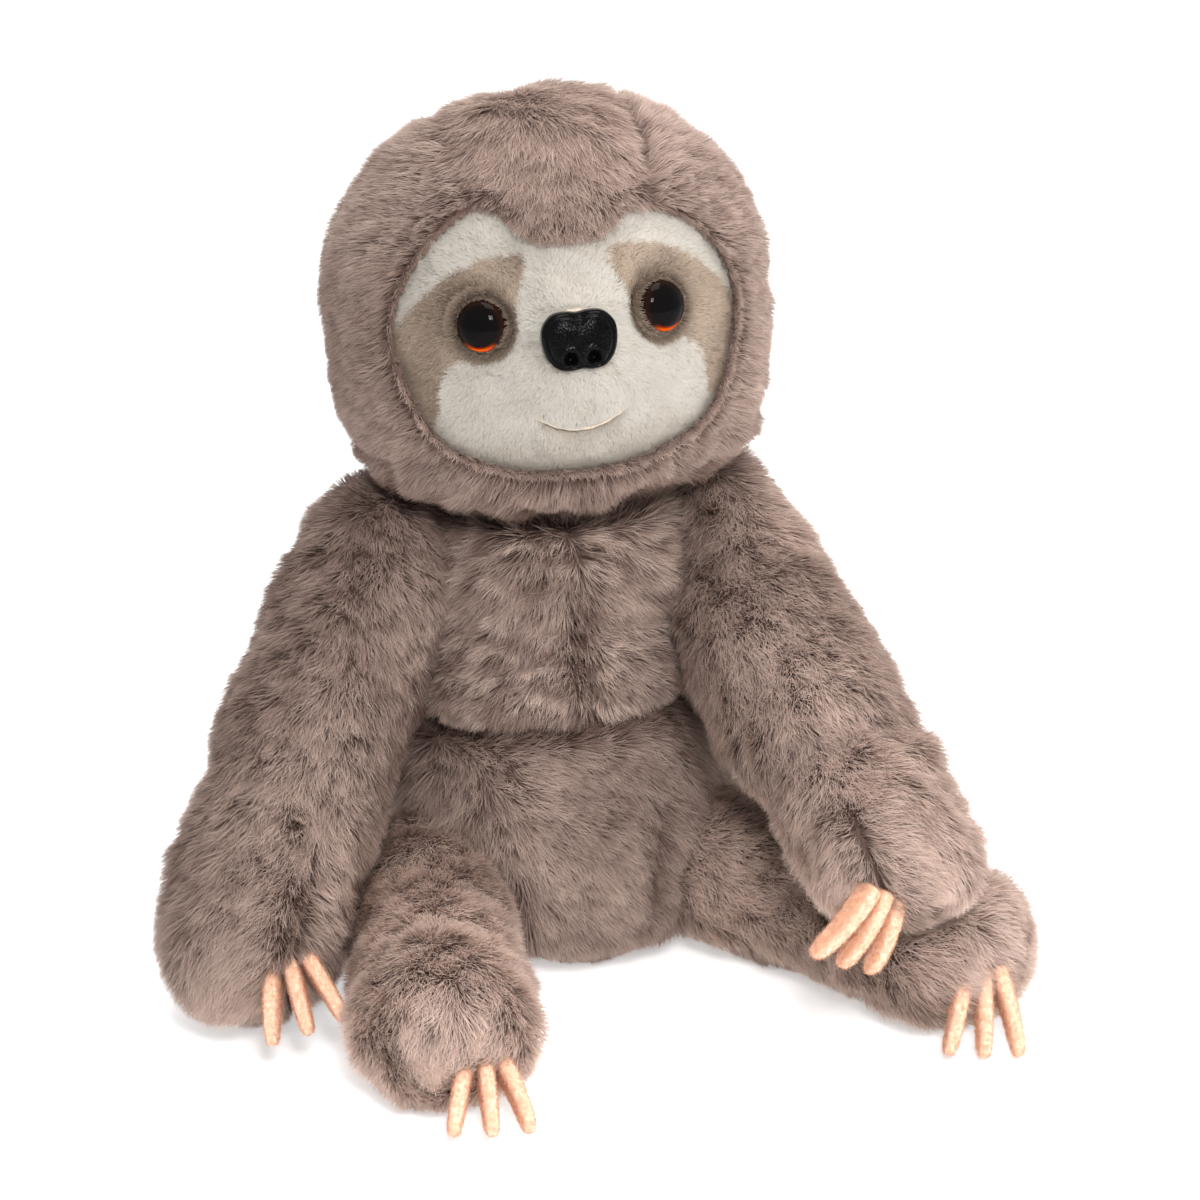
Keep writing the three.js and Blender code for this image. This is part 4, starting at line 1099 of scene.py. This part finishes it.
def make_eye(sign, material):
    side = "left" if sign > 0 else "right"
    at = np.array(sign * EYE_SIDE), np.array(EYE_HEIGHT)
    across, upwards, out = frame_on(face_normal(*at))
    point = on_face(*at) - out * EYE_SINK
    sides, steps = 72, 26
    theta = circle(sides)
    # Radius, height and place across the iris: a shank, a seat and the dome
    profile = [(2.2, -6.0, 0), (2.2, -0.6, 0), (6.2, -0.3, 1), (6.8, 0.0, 1),
               (EYE_RADIUS, 0.5, 1), (EYE_RADIUS, EYE_RIM, 1)]
    for i in range(1, steps):
        a = i / steps * np.pi / 2
        profile.append((EYE_RADIUS * math.cos(a), EYE_RIM + (EYE_DOME - EYE_RIM) * math.sin(a), math.cos(a)))
    around = np.cos(theta)[:, None] * across + np.sin(theta)[:, None] * upwards
    rings = [point + around * r + out * h for r, h, _ in profile]
    form = Form(posed(rings), posed(point - out * 6), posed(point + out * EYE_DOME))
    obj = make_mesh(f"eye_{side}_moulded", form.verts, form.tris, material, "head")
    radius = np.concatenate([[0], np.repeat([share for _, _, share in profile], sides), [0]])
    from_below = np.abs((np.degrees(theta) - 90) % 360 - 180) / 180
    turn = np.concatenate([[0], np.tile(from_below, len(profile)), [0]])
    uv = np.stack([radius, turn], 1)[form.tris.ravel()]
    obj.data.uv_layers.new(name="OFBake").data.foreach_set("uv", uv.astype(np.float32).ravel())
    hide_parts(f"eye_{side}")
    lid_pile(f"eye_patch_{side}_fringe", sign, point, across, upwards, out)


def lid_pile(name, sign, point, across, upwards, out):
    """The fringe of pile that stands round an eye, darkest next to it: painted shade round the sunk eye."""
    local = np.random.default_rng(91 + sign)
    count = 4200
    theta = local.uniform(0, 2 * np.pi, count)[:, None]
    r = EYE_RADIUS - 0.05 + local.uniform(0, 2.3, count)
    around = np.cos(theta) * across + np.sin(theta) * upwards
    q = point + around * r[:, None]
    roots = on_face(q[:, 0], q[:, 2], -2.2)
    comb = around * np.where(r > 8, 0.8, -0.8)[:, None]
    # Painted shade: nearly black next to the eye, lighter further out.
    tone = 0.06 + 0.34 * smooth(r, 7.6, 9.3)
    grow_pile(name, "head", "taupe_plush", TAUPE, posed(roots), np.tile(HEAD_TURN @ out, (count, 1)),
              comb @ HEAD_TURN.T, 3.5, tone, 1.25, 95 + sign, width=0.24, spread=0.35, droop=0.1,
              knee=0.6, clump=0.2, clump_size=3, soft=0.9)


def nose_material():
    n = Nodes("moulded_nose", Roughness=0.22, IOR=1.14)
    inputs = {"Vector": n.place(), "Scale": 1500.0, "Randomness": 0.85}
    pebbles = n.add("ShaderNodeTexVoronoi", inputs, feature="SMOOTH_F1")
    pebbles.inputs["Smoothness"].default_value = 0.4
    n.link(n.ramp(pebbles.outputs["Distance"], [(0.1, srgb(10, 9, 9)), (0.6, srgb(3, 3, 3))]), "Base Color")
    middle = n.add("ShaderNodeAttribute", attribute_name="pebbled").outputs["Fac"]
    height = n.add("ShaderNodeMath", {0: pebbles.outputs["Distance"], 1: middle}, operation="MULTIPLY")
    n.bump(height.outputs[0], 0.45, 0.00025, invert=True)
    return n.material


def make_nose():
    """A pebbled dome in a smooth rim, with two nostrils and a notch on top."""
    lift = math.radians(NOSE_LIFT)
    out = np.array([0, -math.cos(lift), math.sin(lift)])
    upwards = np.array([0, math.sin(lift), math.cos(lift)])
    across = np.array([1.0, 0, 0])
    point = on_face(np.array(0.0), np.array(float(NOSE_HEIGHT))) - out * NOSE_SINK
    line = mirrored(NOSE_SHARES, NOSE_HALF) * [0.98, 0.93]
    rim, crest, steps = NOSE_THICK * 0.33, NOSE_THICK - 0.8, 34
    rows = [(0.9, -0.9), (0.975, -0.3), (1.0, 0.2), (1.0, rim * 0.6), (1.0, rim)]
    for i in range(1, steps):
        a = i / steps * np.pi / 2
        rows.append((math.cos(a) ** 0.7, rim + (crest - rim) * math.sin(a)))
    rings, pebbled = [], [0.0]
    for share, height in rows:
        x, z = (line * share).T
        level = np.full(len(x), height)
        inner = 1 - smooth(share, 0.80, 0.92)
        for s in (-1, 1):
            d = np.hypot(x - s * NOSTRIL_SIDE, z - NOSTRIL_HEIGHT)
            level -= NOSTRIL_DEPTH * bump(d, NOSTRIL_RADIUS) * smooth(level, rim, rim + 1)
            level += 0.45 * bump(d - 2.5, 0.9) * smooth(level, rim, rim + 1)
            inner = inner * smooth(d, 1.6, 3.0)
        level -= 0.9 * bump(x, 2.2) * bump(z - 7.6, 3.0)
        level -= 0.5 * bump(share - 0.86, 0.035) * smooth(level, rim, rim + 1)
        pebbled += list(inner)
        rings.append(point + x[:, None] * across + z[:, None] * upwards + level[:, None] * out)
    pebbled.append(1.0)
    form = Form(posed(rings), posed(point - out * 1.2), posed(point + out * crest))
    obj = make_mesh("nose_moulded", form.verts, form.tris, nose_material(), "head")
    point_values(obj, "pebbled", pebbled)
    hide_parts("nose")


def make_mouth():
    """A thread of three twisted strands that lies in the mouth's groove."""
    steps, sides = 60, 12
    share = np.linspace(-1, 1, steps)
    centre = on_face(share * MOUTH_HALF, MOUTH_HEIGHT - MOUTH_DIP * (1 - share ** 2), -2.1)
    tangent = unit(np.gradient(centre, axis=0))
    normal = unit(flat_to(np.tile([0, -1.0, 0], (steps, 1)), tangent))
    side = np.cross(tangent, normal)
    theta = circle(sides)
    rings = []
    for k in range(steps):
        radius = THREAD_RADIUS * (1 + 0.22 * np.cos(3 * theta + 0.63 * k))
        cos, sin = (radius * np.cos(theta))[:, None], (radius * np.sin(theta))[:, None]
        rings.append(centre[k] + cos * normal[k] + sin * side[k])
    form = Form(posed(rings), posed(centre[0]), posed(centre[-1]))
    n = Nodes("mouth_thread", Roughness=0.8)
    n.link(n.ramp(n.noise(1500, 2), [(0.3, srgb(190, 172, 150)), (0.7, srgb(210, 196, 178))]), "Base Color")
    obj = make_mesh("mouth_thread_twisted", form.verts, form.tris, n.material, "head")
    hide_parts("mouth_thread")


# Claws

def felt_material():
    n = Nodes("claw_felt", Roughness=0.95, Specular_IOR_Level=0.15, Sheen_Weight=0.35, Sheen_Roughness=0.5)
    grain, wide = n.noise(1400, 5, 0.7), n.noise(260, 3)
    # Painted light: the pale felt on the claw's outer edge is its lit face, and the deeper orange its shaded
    # sides.
    edge = n.add("ShaderNodeAttribute", attribute_name="edge").outputs["Fac"]
    deep = n.ramp(grain, [(0.2, srgb(206, 156, 124)), (0.8, srgb(224, 178, 146))])
    pale = n.ramp(grain, [(0.2, srgb(226, 190, 162)), (0.8, srgb(238, 210, 186))])
    cloudy = n.ramp(wide, [(0.35, BLACK), (0.75, (0.35, 0.35, 0.35, 1))])
    n.link(n.mix(cloudy, n.mix(edge, deep, pale), srgb(228, 178, 148)), "Base Color")
    n.bump(grain, 0.7, 0.0005)
    return n.material


def make_claw(name, limb, index, number, material, fuzz):
    """A flat felt claw that bends down and ends in a round tip, under a fine fuzz."""
    lay = unit(limb["lay"])
    row = -unit(flat_to(np.array(limb["row"], float), lay))
    outward = np.cross(row, lay)
    bend = math.radians(CLAW["bend"])
    radius = CLAW["length"] / bend
    round_from, sides = 0.8, 28
    tip_share = 1 - round_from
    theta = circle(sides)
    lean, phase = 0.15 * np.random.default_rng(500 + number).normal(size=2)
    to_tip = round_from + tip_share * np.sin(np.linspace(0.1, 1, 14) * np.pi / 2) * 0.999
    rings, lit_edges = [], [1.0]
    for s in (0.0, 0.01, 0.03, *np.linspace(0.06, round_from, 26), *to_tip):
        end = math.sqrt(max(0.0, 1 - max(0.0, (s - round_from) / tip_share) ** 2))
        start = min(1.0, 0.75 + 8 * s)
        deep = (CLAW["root"] + (CLAW["tip"] - CLAW["root"]) * s) / 2 * max(end, 0.12) * start + 0.2
        thick = CLAW["thick"] / 2 * (1.05 - 0.25 * s) * (0.35 + 0.65 * end ** 0.6) * start
        along = np.array([math.sin(bend * s), math.cos(bend * s)])
        u, v = oval(theta, deep, thick, 3.4)
        xy = np.array([0, -radius]) + along * radius + u[:, None] * along
        rings.append(np.column_stack([xy, v + lean * math.sin(3 * s + phase * 5) * s]))
        # Painted light: near 1 on the lit outer edge, low on the shaded sides.
        lit_edges += list(smooth(u / deep, 0.55, 0.95) * 0.9 + 0.1)
    lit_edges.append(1.0)
    spin = turned("Y", -index * CLAW["fan"]) @ turned("Z", CLAW["bend"] / 2)
    shift = np.array([0, 0, index * (CLAW["thick"] + CLAW["gap"])])
    basis = np.stack([lay, outward, row], 1)

    def place(p):
        return (np.asarray(p) @ spin.T + shift) @ basis.T + limb["claws_at"]

    form = Form([place(r) for r in rings], place(rings[0].mean(0)), place(rings[-1].mean(0)))
    form.verts[:, 2] = np.maximum(form.verts[:, 2], FLOOR_GAP)
    form.push(0.07 * noise(form.verts, 510 + number, 2.0))
    obj = make_mesh(f"{name}_claw_{number}_felt", form.verts, form.tris, material, name)
    point_values(obj, "edge", lit_edges)
    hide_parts(f"{name}_claw_{number}")
    roots, normals, _ = scatter(form, 1, 7.0, 520 + number)
    comb = np.random.default_rng(530 + number).normal(size=roots.shape)
    # Painted light: the fuzz is lighter on the claw's outer edge, which faces the light.
    tone = 0.5 + 0.3 * dot(normals, outward)
    grow_pile(f"{name}_claw_{number}_fuzz", name, "claw_felt", fuzz, roots, normals, comb, 1.1, tone, 0.7,
              540 + number, width=0.12, spread=1.5, droop=0.3, knee=0.5, clump=0.2, clump_size=2)


# Camera, light and ground

def aimed(name, data, place, aim):
    obj = bpy.data.objects.new(name, data)
    bpy.context.scene.collection.objects.link(obj)
    obj.location = place
    obj.rotation_euler = (Vector(aim) - Vector(place)).to_track_quat("-Z", "Y").to_euler()
    return obj


def area_light(name, place, aim, size, power):
    data = bpy.data.lights.new(name, "AREA")
    data.shape = "RECTANGLE"
    data.size, data.size_y = size
    data.energy = power
    return aimed(name, data, place, aim)


def studio():
    scene = bpy.context.scene
    scene.view_settings.view_transform = "Standard"
    data = bpy.data.cameras.new("camera")
    data.lens, data.sensor_width = LENS, 36
    scene.camera = aimed("camera", data, CAMERA, CAMERA_AIM)
    white_world(scene)
    area_light("key", (-0.15, -1.05, 0.85), (0, -0.03, 0.12), (0.3, 0.3), 12)
    area_light("glint", (-0.2, -1.1, 0.8), (0, -0.06, 0.19), (0.05, 0.05), 1.6)
    area_light("fill", (0.9, -0.9, 0.4), (0, -0.03, 0.12), (0.5, 0.7), 8).visible_glossy = False
    area_light("top", (0.1, 0.0, 1.35), (0, 0, 0.1), (0.9, 0.7), 15)


def white_world(scene):
    """White as seen and as mirrored, and dimmer as light on the toy."""
    world = bpy.data.worlds.new("world")
    scene.world = world
    world.use_nodes = True
    tree = world.node_tree
    background = tree.nodes["Background"]
    path = tree.nodes.new("ShaderNodeLightPath")
    seen = path.outputs["Is Camera Ray"]
    for kind in ("Is Glossy Ray", "Is Transmission Ray"):
        either = tree.nodes.new("ShaderNodeMath")
        either.operation = "MAXIMUM"
        tree.links.new(seen, either.inputs[0])
        tree.links.new(path.outputs[kind], either.inputs[1])
        seen = either.outputs[0]
    lit = tree.nodes.new("ShaderNodeMapRange")
    lit.inputs["To Min"].default_value = 0.55
    lit.inputs["To Max"].default_value = 1.0
    tree.links.new(seen, lit.inputs["Value"])
    tree.links.new(lit.outputs[0], background.inputs["Strength"])
    background.inputs["Color"].default_value = WHITE


def ground():
    n = Nodes("pale_floor", Roughness=0.9, Emission_Strength=0.45, Emission_Color=WHITE)
    tint = n.ramp(n.noise(40, 2), [(0.3, (0.93, 0.93, 0.93, 1)), (0.7, (0.95, 0.95, 0.95, 1))])
    n.link(tint, "Base Color")
    side = 1500
    corners = [(-side, -side, 0), (side, -side, 0), (side, side, 0), (-side, side, 0)]
    make_mesh("floor", corners, [(0, 1, 2, 3)], n.material, None)


def dress_hidden_nodes():
    n = Nodes("washer_plastic", Roughness=0.45)
    grain = n.noise(700)
    n.link(n.ramp(grain, [(0.35, srgb(214, 214, 212)), (0.65, srgb(228, 228, 226))]), "Base Color")
    n.bump(grain, 0.2, 0.0002)
    for name in ("eye_washer_left", "eye_washer_right", "nose_washer"):
        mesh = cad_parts[name].data
        mesh.materials.clear()
        mesh.materials.append(n.material)


make_torso()
make_neck()
make_head()
make_face()
eye_finish = eye_material()
make_eye(1, eye_finish)
make_eye(-1, eye_finish)
make_nose()
make_mouth()
felt = felt_material()
fuzz = pile_material("claw_fuzz", [(0.0, srgb(206, 148, 116)), (1.0, srgb(228, 174, 144))],
                     [(0.0, srgb(222, 176, 146)), (1.0, srgb(236, 202, 178))], 0.9, through=1.1)
for order, (limb_name, limb) in enumerate(LIMBS.items()):
    make_limb(limb_name, limb, 600 + 40 * order)
    for number, index in enumerate((-1, 0, 1), 1):
        make_claw(limb_name, limb, index, number, felt, fuzz)
dress_hidden_nodes()
ground()
studio()
